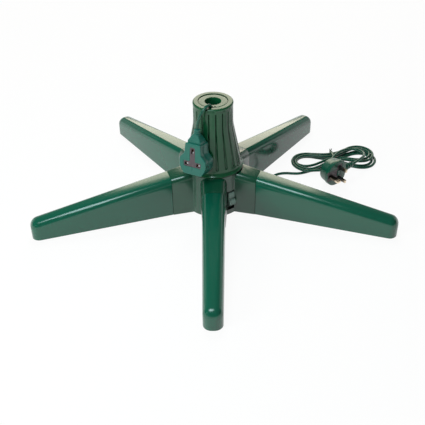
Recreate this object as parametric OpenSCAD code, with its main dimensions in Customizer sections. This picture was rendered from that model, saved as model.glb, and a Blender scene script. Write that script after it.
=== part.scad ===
// Rotating tree stand: five plug-in legs, a driven hub and a fluted column that turns on it.
// Millimetres, +Z up. The origin is on the floor, on the turning axis; the front leg runs along -Y.

/* [Legs] */
// Distance from the turning axis to a leg's tip
leg_reach = 320; // [290:1:350]
// Width of a leg at its tip
leg_tip_w = 30; // [26:0.5:34]
// Width of a leg where it meets the hub
leg_root_w = 38.5; // [36:0.5:40]
// Height of a leg's top face at the tip
leg_tip_h = 32.7; // [28:0.1:38]
// Height of a leg's top face at the hub
leg_root_h = 73.5; // [71:0.5:74.5]
// Rounding of the top edges of a leg
leg_edge_r = 9.5; // [6:0.5:11]
// Wall thickness of a leg
leg_wall = 3; // [2:0.1:4]
// Distance between the cross ribs inside a leg
leg_rib_step = 55; // [40:1:70]
// Length of the tongue that plugs into the hub
tongue_l = 22; // [16:0.5:24]
// Width of the tongue
tongue_w = 26; // [22:0.5:28]

/* [Hub] */
// Height of the hub's underside above the floor
hub_lift = 2.7; // [2.2:0.1:3.5]
// Height of the hub's top deck above the legs' top faces
deck_rise = 6.5; // [6:0.1:8]
// Outer radius of the hub's drum
hub_r = 49; // [48:0.5:50]
// Wall thickness of the drum
hub_wall = 2.8; // [2:0.1:3]
// Thickness of the top deck
deck_t = 3; // [2.4:0.1:4]
// Radius of the opening in the top deck
deck_hole_r = 31; // [29:0.5:33]
// Distance from the axis to the seam between hub and leg
seam_r = 80; // [78:0.5:84]
// Width of a stub where it leaves the drum
stub_root_w = 44; // [42:0.5:45]
// Extra width of a stub over its leg at the seam
stub_step = 1; // [0.4:0.1:1.4]
// Radius of the hollow corner between a stub and the drum
stub_fillet_r = 5; // [3:0.5:5]
// Radius of the flat pad under the hub
foot_pad_r = 30; // [20:1:36]
// Thickness of the base plate
base_plate_t = 2.5; // [2:0.1:3.5]

/* [Column] */
// Height of the column's top rim above the floor
column_h = 200; // [194:0.5:210]
// Radius of the column's top rim
rim_r = 33.5; // [33:0.1:34.5]
// Radius of the straight neck
neck_r = 33; // [32:0.1:33]
// Height at which the neck starts to widen
neck_z = 161; // [155:0.5:166]
// Radius of the column where its skirt begins
waist_r = 46.5; // [45.5:0.1:47]
// Height of that point above the column's lower edge
waist_rise = 10; // [9:0.5:12]
// Radius of the skirt
skirt_r = 51; // [50.5:0.1:52]
// Wall thickness of the column
column_wall = 3; // [2.6:0.1:3.4]
// Gap between the skirt and the hub's deck
skirt_gap = 2; // [1.5:0.1:2.2]
// Number of flutes round the column
flute_count = 18; // [12:1:18]
// Width of a flute
flute_w = 4; // [3:0.1:5]
// Depth of a flute
flute_depth = 1.2; // [0.6:0.1:1.5]

/* [Pole socket] */
// Radius of the bore that takes the tree's pole
pole_r = 13; // [11:0.5:13.4]
// Wall of the adapter's sleeve
sleeve_wall = 2.6; // [1.6:0.1:2.6]
// Length of the adapter's sleeve below its flange
sleeve_l = 74; // [50:1:90]
// Radius of the adapter's flange
flange_r = 24.7; // [24:0.1:25.5]
// Thickness of the adapter's flange
flange_t = 3; // [2:0.1:3.5]
// Depth of the flange's face below the rim
flange_sink = 2.2; // [1:0.1:3]
// Clearance round the sleeve in the pole socket
sleeve_gap = 0.3; // [0.2:0.05:0.4]
// Wall of the pole socket
socket_wall = 1.9; // [1.5:0.1:1.9]
// Thickness of the pole socket's closed bottom
socket_floor = 4; // [3:0.5:6]

/* [Bearing] */
// Radius of the circle on which the balls run
race_r = 39; // [38:0.1:39.5]
// Width of a race
race_w = 7; // [6.6:0.2:7.4]
// Thickness of a race
race_t = 2.6; // [2.4:0.1:3]
// Radius of a ball
ball_r = 2.5; // [2.4:0.1:2.6]
// Number of balls
ball_count = 12; // [8:1:16]

/* [Drive] */
// Tooth size: pitch diameter divided by the number of teeth
gear_module = 1; // [0.98:0.01:1.02]
// Width of the large gear
gear_w = 8; // [6:0.5:9]
// Radius of the motor's can
motor_r = 21; // [18:0.5:21.5]
// Height of the motor's can
motor_h = 19; // [15:0.5:19]
// Radius of the motor's shaft
shaft_r = 3; // [2.5:0.1:3.5]
// Thickness of the steel plate that carries the motor
gear_plate_t = 2; // [1.5:0.1:2.4]
// Running clearance of shafts and bushes
run_gap = 0.05; // [0.02:0.01:0.09]

/* [Slip rings] */
// Radius of the slip rings
ring_r = 24; // [23.5:0.1:24.5]
// Height of one slip ring
ring_h = 5; // [4:0.1:5.4]
// Distance from one slip ring to the next
ring_step = 7.5; // [7:0.1:8]
// Width of a contact finger
finger_w = 4; // [3:0.1:4]
// Gap between a finger and its ring
finger_gap = 0.3; // [0.2:0.05:0.5]

/* [Switch] */
// Width of the rocker
rocker_w = 12.2; // [10:0.1:12.4]
// Height of the rocker
rocker_h = 23; // [20:0.5:25]
// Height of the rocker's pivot above the floor
rocker_z = 34; // [32:0.5:36]
// Tilt of the rocker at rest, lower half out
rocker_tilt = 15; // [8:0.5:15]
// Wall of the bezel round the rocker
bezel_wall = 1.1; // [0.9:0.1:1.2]

/* [Trailing socket] */
// Thickness of the socket from back to face
socket_t = 26; // [22:0.5:28]
// Height of the socket's face above its middle
socket_top = 24.2; // [22:0.1:26]
// Height of the socket's face below its middle
socket_drop = 29.5; // [27:0.1:30]
// Half width of the socket at its shoulders
socket_half_w = 25.3; // [24:0.1:27]
// Thickness of the socket's shell
shell_t = 2.2; // [1.6:0.1:2.8]
// Height of the strain relief over the socket
socket_boot_h = 22; // [20:0.5:22]

/* [Plug] */
// Thickness of the plug's body
plug_t = 24; // [20:0.5:26]
// Half width of the plug's body
plug_half_w = 24; // [23:0.1:24]
// Length of the plug's strain relief
plug_boot_l = 25; // [20:0.5:25]
// Pitch of the pins, both ways
pin_pitch = 22.23; // [22.2:0.01:22.3]
// Length of the line and neutral pins
pin_l = 17.7; // [17.2:0.1:18.2]
// Length of the earth pin
earth_pin_l = 22.7; // [22:0.1:23.4]

/* [Cords] */
// Radius of the mains cord
cord_r = 2.5; // [2.2:0.05:2.5]
// Radius of the socket's cord
flex_r = 2.45; // [2.2:0.05:2.45]
// Half length of the hank's outer loop
hank_a = 82; // [80:0.5:86]
// Width factor of the hank's lobes
hank_b = 50; // [48:0.5:52]
// Half width of the hank's outer loop at the tie
hank_waist = 16; // [16:0.1:18]

/* [Fasteners] */
// Radius of a screw's shank
screw_r = 1.45; // [1.2:0.05:1.6]
// Radius of a screw's head
screw_head_r = 2.8; // [2.4:0.1:3]
// Height of a screw's head
screw_head_h = 1.5; // [1.2:0.1:1.6]
// Radius of a screw boss
boss_r = 4; // [3.4:0.1:4.4]

/* [Hidden] */

housing_green = [0.05, 0.25, 0.16];
cord_green = [0.10, 0.32, 0.24];
insert_brown = [0.26, 0.20, 0.21];
brass = [0.80, 0.62, 0.32];
steel = [0.66, 0.67, 0.69];
zinc = [0.75, 0.75, 0.72];
nylon = [0.88, 0.87, 0.82];
dark_plastic = [0.06, 0.06, 0.06];
grey_green = [0.40, 0.47, 0.42];

fine = 96;        // segments of large round pieces
medium = 48;      // segments of small round pieces
hull_fn = 32;     // segments inside a hull
cut = 1;          // how far a cutter runs past a face
thin = 0.02;      // thickness of an end section in a hull
fit = 0.3;        // clearance between pieces that slip together
seat = 0.2;       // clearance of a hole round what passes through it

// Azimuths of the legs: front, front right, back right, back left, front left
leg_step = 72;
leg_front_az = -90;
leg_az = [for (i = [0:4]) leg_front_az + i * leg_step];
leg_slope = (leg_root_h - leg_tip_h) / (leg_reach - seam_r);
tongue_z0 = hub_lift + 6;
tongue_z1 = leg_root_h - leg_edge_r - 6;
bulkhead_t = 3;
leg_top_t = leg_wall + 1;
rib_t = 2.1;
cross_rib_lift = 1;
long_rib_lift = 3;
pocket_end = 1.5;       // room behind a tongue
stub_sink = 6;          // how far a stub runs into the drum
corner_bite = 0.4;
corner_drop = 4;
corner_open = 0.3;      // keeps the ends of a hollow corner from running out to nothing

// Hub interior
hub_h = leg_root_h + deck_rise;
cavity_r = hub_r - hub_wall;
deck_z = hub_h - deck_t;
plate_r = cavity_r - fit;
base_top = hub_lift + base_plate_t;
base_boss_at = cavity_r - boss_r + 0.4;
base_boss_h = 12;
screw_short = 2;         // how much shorter a screw is than its boss
rotor_screw_bite = 10;
motor_z = base_top + 0.8;
gear_plate_z = motor_z + motor_h;
gear_plate_top = gear_plate_z + gear_plate_t;
gear_boss_az = [30, 120, 240];
gear_boss_h = 16;
drive_az = 162;
gear_teeth = 52;
pinion_teeth = 16;
gear_r = gear_module * gear_teeth / 2;
pinion_r = gear_module * pinion_teeth / 2;
shaft_at = gear_r + pinion_r;
motor_at = shaft_at - motor_r * 0.55;
motor_lug_at = motor_r + 5;
motor_lug_t = 2;
shaft_hole_gap = 2;
plate_notch_gap = 1.2;

// Pole socket and what rides on it
socket_bore_r = pole_r + sleeve_wall + sleeve_gap;
tube_r = socket_bore_r + socket_wall;
tube_z = gear_plate_z + 1;
pole_floor_z = tube_z + socket_floor;
ledge_z = column_h - flange_sink - flange_t;
ledge_t = 3.5;
sleeve_z = ledge_z - sleeve_l;
bush_r = tube_r + 3.2;
bush_flange_r = bush_r + 3;
bush_flange_t = 2;
bush_h = 8;
gear_z = gear_plate_top + bush_flange_t + 7;
pinion_extra = 1;
gear_hub_wall = 4;
gear_hub_rise = 3;
carrier_z = gear_z + gear_w + gear_hub_rise;
carrier_core_r = ring_r - 1.5;
carrier_lip_r = ring_r + 0.5;
ring_count = 3;
ring_gap = ring_step - ring_h;
carrier_h = ring_count * ring_step + ring_gap;
carrier_top = carrier_z + carrier_h;

// Bearing stack between the deck and the column
groove_gap = 0.1;
ball_z = hub_h + race_t + ball_r - 0.9;
upper_race_z = 2 * ball_z - hub_h - race_t;
rotor_base_z = upper_race_z + race_t;
rotor_base_t = 3;
rotor_base_top = rotor_base_z + rotor_base_t;
cage_t = 1;
cage_w = 6;

// Column
skirt_z = hub_h + skirt_gap;
waist_z = skirt_z + waist_rise;
rim_round = 2.4;
rim_z = column_h - 4;
rim_flare = 1;
ring_bevel = 0.8;
skirt_bevel = 0.6;
skirt_band = 1.5;
flare_power = 1.6;
flare_steps = 6;
ring_inner_r = flange_r + fit;
post_az = [80, 200, 320];
post_at = 30;
post_h = 58;
post_rib_t = 2.4;
post_root = 0.6;
cone_tilt = atan((waist_r - neck_r) / (neck_z - waist_z));
flute_top_z = column_h - 8.5;
flute_low_z = waist_z + 0.8;
flute_low_r = neck_r + (neck_z - flute_low_z) * tan(cone_tilt);
flute_az = -82;
tube_flange_r = 25.5;
tube_flange_t = 3;

// The flex climbs inside the column and leaves through a notch in the adapter
flex_az = -100;
flex_at = 20.6;
notch_w = 9;
slot_az = -80;
slot_size = [5, 2.4];

// Contact block and its spring fingers
block_x = 14;
block_l = 10;
block_w = 13;
block_y = ring_r - 1;
finger_t = 0.6;
finger_back = -4;
finger_hold = 7;        // length of finger inside the block
slot_l = 9;

// Switch in the wall between the front and front right stubs
switch_az = leg_front_az + leg_step / 2;
rocker_pivot_at = 47;
rocker_pin_r = 1.2;
rocker_gap = 0.3;
bezel_front = hub_r + 1.2;
bezel_back = 41;
bezel_low = 11.5;
bezel_high = rocker_z + rocker_h / 2 + 3.6;
bezel_w = rocker_w + 2 * (rocker_gap + bezel_wall);
switch_body_back = 31;
switch_clear = 8;
rocker_opening_h = rocker_h + 2 * rocker_gap + 1.6;
rocker_face = 6.5;      // from the pivot to the paddles
rocker_back = -2;
rocker_bevel = 0.8;
valley_w = 4;           // dip between the two paddles
valley_depth = 3;
pin_reach = 0.8;
pocket_depth = 4.2;
pocket_lip = 1.5;
pocket_h = 6;

// Cord routes, chosen by hand
flex_route_top = [
    [-3.6, -20.3, ledge_z], [-3.6, -20.3, 197.2], [-3.8, -21.2, 200.3], [-4.6, -23, 203],
    [-6, -25.6, 205], [-8.3, -28.9, 205.7], [-11.3, -32.1, 204.3], [-14.7, -35, 201.2],
    [-18.1, -37.4, 196.8], [-20.9, -38.9, 191.6], [-22.8, -39.4, 185.8], [-24.2, -39.1, 180.6]
];
gland_az = 18;
gland_z = 10.2;
gland_l = 21.2;
gland_r = 4.6;
gland_neck_r = 3.6;
gland_lip = 1.4;
gland_tip_wall = 0.5;
gland_end_r = cavity_r + hub_wall + seat + gland_l;
cord_z = 2.6;
mains_route = [
    [77.6, 25.8, 10], [82.4, 30, 9], [86.8, 36, 7], [90.8, 43.6, 5], [94.8, 52.4, 3.5],
    [99.5, 61.6, cord_z], [105.5, 71, cord_z], [113, 79.4, cord_z], [123, 85.2, cord_z],
    [134, 87.2, cord_z], [145, 85.8, cord_z], [155.4, 83.2, cord_z], [165, 82, cord_z]
];

// Hank: loops of one cord, drawn in at the tie, spiralling in and out again in two layers
hank_at = [227, 128.5];
hank_turn = 10;
hank_loops = 4;
hank_rings = 24;
hank_start = 232;
hank_step_a = 5.8;
hank_step_b = 10;
hank_step_waist = 8;
hank_layer = 6.2;
hank_pinch = 5;
hank_lift = 1.7;
hank_lift_l = 26;
hank_end = 2 * cord_r;
lead = 5.4;           // how far a cord runs straight out of what holds it
tie_w = 4;
tie_t = 1.1;
tie_gap = 0.5;
tie_head = [5.2, 3.4, 5];
tail_l = 9;
tail_lean = 20;
plug_cord_route_mid = [
    [198.9, 89.4, 9.6], [204.6, 92, 11.4], [210.2, 97, 13.6], [215.6, 104.2, 15.8],
    [221.6, 113.8, 17.6], [228.8, 124.6, 18.3], [237.2, 134.6, 18], [246.6, 142.6, 17.2],
    [256, 147.4, 16.4], [265.4, 148.6, 16], [274, 145.8, 16.4], [280.4, 139.2, 17.3],
    [283.4, 130.2, 18.6], [282.9, 120.4, 20.2], [279.2, 110.8, 21.8], [272.8, 102, 23.2]
];

// Trailing socket, leaning on the column
socket_face_at = [-33.9, -58.5, 127];
socket_yaw = -121.5;
socket_lean = 10;
socket_roll = 3.5;
socket_neck_w = 14.3;
socket_waist = [16, 6.2];
socket_shoulder = [socket_half_w, -2.7];
socket_cheek = [socket_half_w, -16.3];
socket_foot_w = 17;
socket_round = 3;
front_t = 10;
insert_t = 2;
insert_gap = 0.15;
pin_size = [6.35, 4];
earth_size = [4, 8];
slot_play = 0.6;
contact_wall = 0.7;
contact_l = 14;
pin_hole_r = screw_r + seat;
socket_screw_z = -2;
boot_foot = [18, 25, 3];
boot_cone_h = 13;
boot_neck_r = 6.6;
boot_step = 0.45;
boot_ring_h = 2;
boot_collar_h = 4.5;
tee_stem_w = 13;
tee_top = 6.5;
tee_bar = [34, 11];

// Plug, lying on its side
plug_at = [218.1, 47.4, plug_half_w + 0.1];
plug_yaw = -52;
plug_boot_depth = 6;
plug_tail = 27.6;
plug_nose = -17.4;
plug_nose_w = 7.5;
plug_skirt_t = 8;
plug_back_scale = 0.8;
sleeve_pin_l = 9.5;
sleeve_t = 0.3;
pin_play = 1.3;
fuse_size = [11, 9];
fuse_z = 0.5;
fuse_proud = 1.4;
relief_r = 6.4;
relief_end_r = 4.2;
relief_ribs = 3;
relief_start = 6.5;
relief_step = 5.5;
relief_taper = 0.6;
relief_rib_h = 2.6;

function unit(v) = v / norm(v);
function polar(r, a) = [r * cos(a), r * sin(a)];
function with_z(p, z) = [p[0], p[1], z];
function column_inner_r(z) =
    z > neck_z ? neck_r - column_wall
    : z > waist_z ? neck_r + (neck_z - z) * tan(cone_tilt) - column_wall
    : waist_r + (skirt_r - waist_r) * (waist_z - z) / waist_rise - column_wall;

// ---- Swept cords ----
function along(p, i) = unit(p[min(i + 1, len(p) - 1)] - p[max(i - 1, 0)]);
function carried(n, t) = unit(n - (n * t) * t);
function side_normals(p) = [
    for (i = 0, n = carried([0.2, 0.1, 1], along(p, 0)); i < len(p);
         i = i + 1, n = carried(n, along(p, min(i, len(p) - 1)))) n
];
function ring_points(p, r, sides) =
    let (normals = side_normals(p))
    [for (i = [0:len(p) - 1])
        let (t = along(p, i), n = normals[i], b = cross(t, n))
        for (k = [0:sides - 1]) let (a = 360 * (k + 0.5) / sides) p[i] + r * (cos(a) * n + sin(a) * b)];
function tube_faces(count, sides) = concat(
    [for (k = [1:sides - 2]) [0, k + 1, k]],
    [for (i = [0:count - 2]) for (k = [0:sides - 1])
        let (a = i * sides + k, b = i * sides + (k + 1) % sides)
        each [[a, b, b + sides], [a, b + sides, a + sides]]],
    [for (k = [1:sides - 2]) let (e = (count - 1) * sides) [e, e + k, e + k + 1]]
);
module tube(route, r, sides) {
    polyhedron(points = ring_points(route, r, sides), faces = tube_faces(len(route), sides));
}
function route_length(p) = len(p) < 2 ? 0 : [for (i = 0, s = 0; i < len(p); i = i + 1,
    s = s + (i < len(p) ? norm(p[i] - p[i - 1]) : 0)) s][len(p) - 1];

// ---- Hank ----
function hank_depth(t) = t <= hank_loops / 2 ? t : hank_loops - t;
function climb(t) = let (u = (t - hank_loops / 2) * 2 + 0.5) max(0, min(1, u));
function hank_point(t) =
    let (a = hank_start + 360 * t, s = hank_depth(t), c = cos(a), e = sin(a),
         lobe = hank_b - s * hank_step_b, waist = hank_waist - s * hank_step_waist,
         pinch = pow(abs(e), hank_pinch),
         x = (hank_a - s * hank_step_a) * c,
         y = (lobe - (lobe - waist) * pinch) * e,
         lift = hank_lift * exp(-pow(x / hank_lift_l, 2)),
         q = polar(1, hank_turn))
    [hank_at[0] + x * q[0] - y * q[1], hank_at[1] + x * q[1] + y * q[0],
     cord_z + lift + hank_layer * climb(t)];
function hank_samples(n) = [for (i = [0:hank_loops * n]) hank_point(i / n)];
hank_loop_points = hank_samples(hank_rings);
hank_first = hank_loop_points[0];
hank_last = hank_loop_points[len(hank_loop_points) - 1];
hank_in_dir = unit(hank_loop_points[1] - hank_first);
hank_out_dir = unit(hank_last - hank_loop_points[len(hank_loop_points) - 2]);
hank_entry = hank_first - hank_end * hank_in_dir;
hank_exit = hank_last + hank_end * hank_out_dir;
hank_route = concat([hank_entry], hank_loop_points, [hank_exit]);
gap_skip = 4;
function within(v) = max(0, min(1, v));
// Least distance between two straight stretches, p to p + u and q to q + v
function stretch_gap(p, u, q, v) =
    let (w = p - q, b = u * v, skew = (u * u) * (v * v) - b * b,
         s = skew > thin ? within((b * (v * w) - (v * v) * (u * w)) / skew) : 0,
         t = within((b * s + v * w) / (v * v)), near = within((b * t - u * w) / (u * u)))
    norm(w + near * u - t * v);
hank_gap = let (p = hank_route, last = len(p) - 2)
    min([for (i = [0:last]) for (j = [i + gap_skip:1:last])
        stretch_gap(p[i], p[i + 1] - p[i], p[j], p[j + 1] - p[j])]) - 2 * cord_r;
echo(hank_least_gap = hank_gap);
echo(hank_length = route_length(hank_route));

function in_plug_frame(p) = let (q = polar(1, plug_yaw))
    [plug_at[0] + p[0] * q[0] - p[1] * q[1], plug_at[1] + p[0] * q[1] + p[1] * q[0], plug_at[2] + p[2]];
plug_boot_end = in_plug_frame([-plug_boot_depth, plug_tail + plug_boot_l, 0]);
gland_dir = with_z(polar(1, gland_az), 0);
gland_tip = gland_end_r * gland_dir + [0, 0, gland_z];
mains_full_route = concat([gland_tip, gland_tip + lead * gland_dir], mains_route,
    [hank_entry - lead * hank_in_dir, hank_entry]);
plug_cord_route = concat([hank_exit, hank_exit + lead * hank_out_dir], plug_cord_route_mid,
    [plug_boot_end + lead * with_z(polar(1, plug_yaw + 90), 0), plug_boot_end]);
function in_socket_frame(p) =
    let (facing = with_z(cos(socket_lean) * polar(1, socket_yaw), sin(socket_lean)),
         across = with_z(polar(1, socket_yaw + 90), 0), up = cross(facing, across))
    socket_face_at + p[0] * facing + p[1] * (cos(socket_roll) * across + sin(socket_roll) * up)
    + p[2] * (cos(socket_roll) * up - sin(socket_roll) * across);
socket_boot_end = in_socket_frame([-socket_t / 2, 0, socket_top + socket_boot_h]);
flex_route = concat(flex_route_top,
    [in_socket_frame([-socket_t / 2, 0, socket_top + socket_boot_h + lead]), socket_boot_end]);
echo(mains_cord_length = route_length(mains_full_route));
echo(plug_cord_length = route_length(plug_cord_route));
echo(socket_flex_length = route_length(flex_route));
echo(hank_ends = [hank_entry, hank_exit], plug_boot_end = plug_boot_end, socket_boot_end = socket_boot_end);

// ---- Shared shapes ----
function corner_arc(a, b, c, r, n) =
    let (u = unit(a - b), w = unit(c - b), half = acos(u * w) / 2,
         centre = b + unit(u + w) * r / sin(half), p = b + u * r / tan(half), q = b + w * r / tan(half))
    [for (i = [0:n]) centre + r * unit((p - centre) * (1 - i / n) + (q - centre) * (i / n))];
function rounded(points, r, n = 4) = let (m = len(points))
    [for (i = [0:m - 1]) each corner_arc(points[(i + m - 1) % m], points[i], points[(i + 1) % m], r, n)];
function mirrored(half) = concat(half, [for (i = [len(half) - 1:-1:0]) [-half[i][0], half[i][1]]]);

// Half outlines run from the top to the bottom of a face, to the right of its middle line
socket_half = [
    [socket_neck_w, socket_top], socket_waist, socket_shoulder, socket_cheek,
    [socket_foot_w, -socket_drop]
];
plug_half = [
    [plug_nose_w, -plug_nose], [plug_half_w - 0.6, 3.4], [plug_half_w, -2], [plug_half_w, -15],
    [plug_half_w - 4, -22], [plug_half_w - 10, -plug_tail]
];
function scaled(points, k) = [for (p = points) p * k];

// Extrudes a face's outline along +X: its width lies along Y and its height along Z
module stand_up(t) {
    rotate([90, 0, 90]) linear_extrude(t) children();
}
module screw(l, head_h = screw_head_h) {
    translate([0, 0, -head_h]) cylinder(r = screw_head_r, h = head_h, $fn = medium);
    cylinder(r = screw_r, h = l, $fn = medium);
}
module at_polar(r, a) {
    rotate(a) translate([r, 0, 0]) children();
}
module ring(r_out, r_in, h) {
    difference() {
        cylinder(r = r_out, h = h, $fn = fine);
        translate([0, 0, -cut]) cylinder(r = r_in, h = h + 2 * cut, $fn = fine);
    }
}
// Upright section with rounded top corners, standing across X
module arch_section(w, h, r) {
    rotate([90, 0, 90]) linear_extrude(thin) {
        translate([-w / 2, 0]) square([w, h - r]);
        translate([r - w / 2, 0]) square([w - 2 * r, h]);
        for (s = [-1, 1]) translate([s * (w / 2 - r), h - r]) circle(r = r, $fn = hull_fn);
    }
}

// ---- Legs ----
module leg_outside() {
    hull() {
        translate([seam_r, 0, hub_lift]) arch_section(leg_root_w, leg_root_h - hub_lift, leg_edge_r);
        for (s = [-1, 1]) translate([leg_reach - leg_edge_r, s * (leg_tip_w / 2 - leg_edge_r), 0]) {
            cylinder(r = leg_edge_r, h = leg_tip_h - leg_edge_r, $fn = hull_fn);
            translate([0, 0, leg_tip_h - leg_edge_r]) sphere(r = leg_edge_r, $fn = hull_fn);
        }
    }
}
module leg_slice(x, w, h) {
    translate([x, -w / 2, -cut]) cube([thin, w, h + cut]);
}
module leg_inside() {
    near_x = seam_r + bulkhead_t;
    far_x = leg_reach - leg_wall - leg_edge_r / 3;
    hull() {
        leg_slice(near_x, leg_root_w - 2 * leg_wall, leg_root_h - leg_edge_r);
        leg_slice(near_x, leg_root_w - 2 * leg_edge_r, leg_root_h - leg_top_t);
        leg_slice(far_x, leg_tip_w - 2 * leg_top_t, leg_tip_h - leg_edge_r);
        leg_slice(far_x - leg_edge_r / 2, leg_tip_w - 2 * leg_edge_r, leg_tip_h - leg_top_t);
    }
}
module leg_ribs() {
    for (x = [seam_r + leg_rib_step:leg_rib_step:leg_reach - leg_rib_step / 2])
        translate([x, -leg_root_w / 2, hub_lift + cross_rib_lift]) cube([rib_t, leg_root_w, leg_root_h]);
    translate([seam_r, -rib_t / 2, hub_lift + long_rib_lift]) cube([leg_reach - seam_r, rib_t, leg_root_h]);
}
module tongue() {
    difference() {
        translate([seam_r - tongue_l, -tongue_w / 2, tongue_z0])
            cube([tongue_l + bulkhead_t, tongue_w, tongue_z1 - tongue_z0]);
        translate([seam_r - tongue_l - cut, leg_wall - tongue_w / 2, tongue_z0 + leg_wall])
            cube([tongue_l + cut, tongue_w - 2 * leg_wall, tongue_z1 - tongue_z0 - 2 * leg_wall]);
    }
}
module leg(i) {
    color(housing_green) rotate(leg_az[i]) {
        difference() {
            leg_outside();
            difference() {
                leg_inside();
                leg_ribs();
            }
        }
        tongue();
    }
}

// ---- Hub ----
module stub() {
    in_x = hub_r - stub_sink;
    out_w = leg_root_w + stub_step;
    hull() {
        translate([seam_r - thin - fit / 2, 0, hub_lift])
            arch_section(out_w, leg_root_h - hub_lift, leg_edge_r);
        translate([in_x, 0, hub_lift])
            arch_section(stub_root_w, leg_root_h + (seam_r - in_x) * leg_slope - hub_lift, leg_edge_r);
    }
}
module stub_corner() {
    cy = stub_root_w / 2 + stub_fillet_r - corner_bite;
    cx = sqrt(pow(hub_r + stub_fillet_r, 2) - cy * cy);
    corner_h = hub_h - hub_lift - corner_drop;
    for (s = [0, 1]) mirror([0, s, 0]) translate([0, 0, hub_lift]) linear_extrude(corner_h) difference() {
        polygon([
            [cx, cy - stub_fillet_r - cut], [cx, cy], polar(hub_r - cut, atan2(cy, cx)),
            [hub_r - stub_sink, stub_root_w / 2 - hub_wall]
        ]);
        translate([cx, cy]) circle(r = stub_fillet_r + corner_open, $fn = medium);
    }
}
module switch_hole(gap) {
    rotate(switch_az) translate([bezel_back - switch_clear / 2, -bezel_w / 2 - gap, bezel_low - gap])
        cube([hub_r - bezel_back + 1.5 * switch_clear, bezel_w + 2 * gap, bezel_high - bezel_low + 2 * gap]);
}
module hub_housing() {
    color(housing_green) difference() {
        union() {
            difference() {
                union() {
                    translate([0, 0, hub_lift]) rotate(leg_front_az)
                        cylinder(r = hub_r, h = hub_h - hub_lift, $fn = fine);
                    for (a = leg_az) rotate(a) {
                        stub();
                        stub_corner();
                    }
                }
                rotate(leg_front_az) cylinder(r = cavity_r, h = deck_z, $fn = fine);
            }
            for (a = leg_az) at_polar(base_boss_at, a) translate([0, 0, base_top])
                cylinder(r = boss_r, h = base_boss_h, $fn = medium);
            for (a = gear_boss_az) at_polar(base_boss_at, a) translate([0, 0, gear_plate_top])
                cylinder(r = boss_r, h = gear_boss_h, $fn = medium);
        }
        translate([0, 0, deck_z - cut]) cylinder(r = deck_hole_r, h = deck_t + 2 * cut, $fn = fine);
        for (a = leg_az) at_polar(base_boss_at, a)
            cylinder(r = screw_r + run_gap, h = base_top + base_boss_h - cut, $fn = medium);
        for (a = gear_boss_az) at_polar(base_boss_at, a) translate([0, 0, gear_plate_top - cut])
            cylinder(r = screw_r + run_gap, h = gear_boss_h, $fn = medium);
        for (a = leg_az) rotate(a)
            translate([seam_r - tongue_l - pocket_end, -tongue_w / 2 - fit, tongue_z0 - fit])
                cube([tongue_l + pocket_end + cut, tongue_w + 2 * fit, tongue_z1 - tongue_z0 + 2 * fit]);
        rotate(gland_az) translate([cavity_r - 2 * cut, 0, gland_z]) rotate([0, 90, 0])
            cylinder(r = gland_neck_r + seat, h = hub_wall + 4 * cut, $fn = medium);
        switch_hole(2 * run_gap);
    }
}
module base_plate() {
    color(dark_plastic) difference() {
        union() {
            translate([0, 0, hub_lift]) cylinder(r = plate_r, h = base_plate_t, $fn = fine);
            cylinder(r = foot_pad_r, h = hub_lift + 0.5, $fn = fine);
        }
        for (a = leg_az) at_polar(base_boss_at, a)
            cylinder(r = screw_r + seat, h = base_top + cut, $fn = medium);
    }
}
module base_screws() {
    color(zinc) for (a = leg_az) at_polar(base_boss_at, a) translate([0, 0, hub_lift])
        screw(base_plate_t + base_boss_h - screw_short);
}
module gear_plate() {
    color(steel) difference() {
        translate([0, 0, gear_plate_z]) cylinder(r = plate_r, h = gear_plate_t, $fn = fine);
        translate([0, 0, gear_plate_z - cut]) {
            cylinder(r = bush_r + run_gap, h = gear_plate_t + 2 * cut, $fn = fine);
            for (a = gear_boss_az) at_polar(base_boss_at, a)
                cylinder(r = screw_r + seat, h = gear_plate_t + 2 * cut, $fn = medium);
            at_polar(shaft_at, drive_az)
                cylinder(r = shaft_r + shaft_hole_gap, h = gear_plate_t + 2 * cut, $fn = medium);
            at_polar(motor_at, drive_az) for (s = [-1, 1]) translate([0, s * motor_lug_at, 0])
                cylinder(r = screw_r + run_gap, h = gear_plate_t + 2 * cut, $fn = medium);
            rotate(switch_az)
                translate([switch_body_back - plate_notch_gap, -bezel_w / 2 - plate_notch_gap, 0])
                    cube([hub_r, bezel_w + 2 * plate_notch_gap, gear_plate_t + 2 * cut]);
        }
    }
}
module gear_plate_screws() {
    color(zinc) for (a = gear_boss_az) at_polar(base_boss_at, a) translate([0, 0, gear_plate_z])
        screw(gear_plate_t + gear_boss_h - screw_short);
}
module tube_hole(z, h) {
    translate([0, 0, z]) cylinder(r = tube_r + run_gap, h = h, $fn = fine);
}
module lower_bush() {
    color(nylon) difference() {
        union() {
            translate([0, 0, gear_plate_z + seat]) cylinder(r = bush_r, h = bush_h, $fn = fine);
            translate([0, 0, gear_plate_top]) cylinder(r = bush_flange_r, h = bush_flange_t, $fn = fine);
        }
        tube_hole(gear_plate_z - cut, bush_h + 3 * cut);
    }
}

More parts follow.
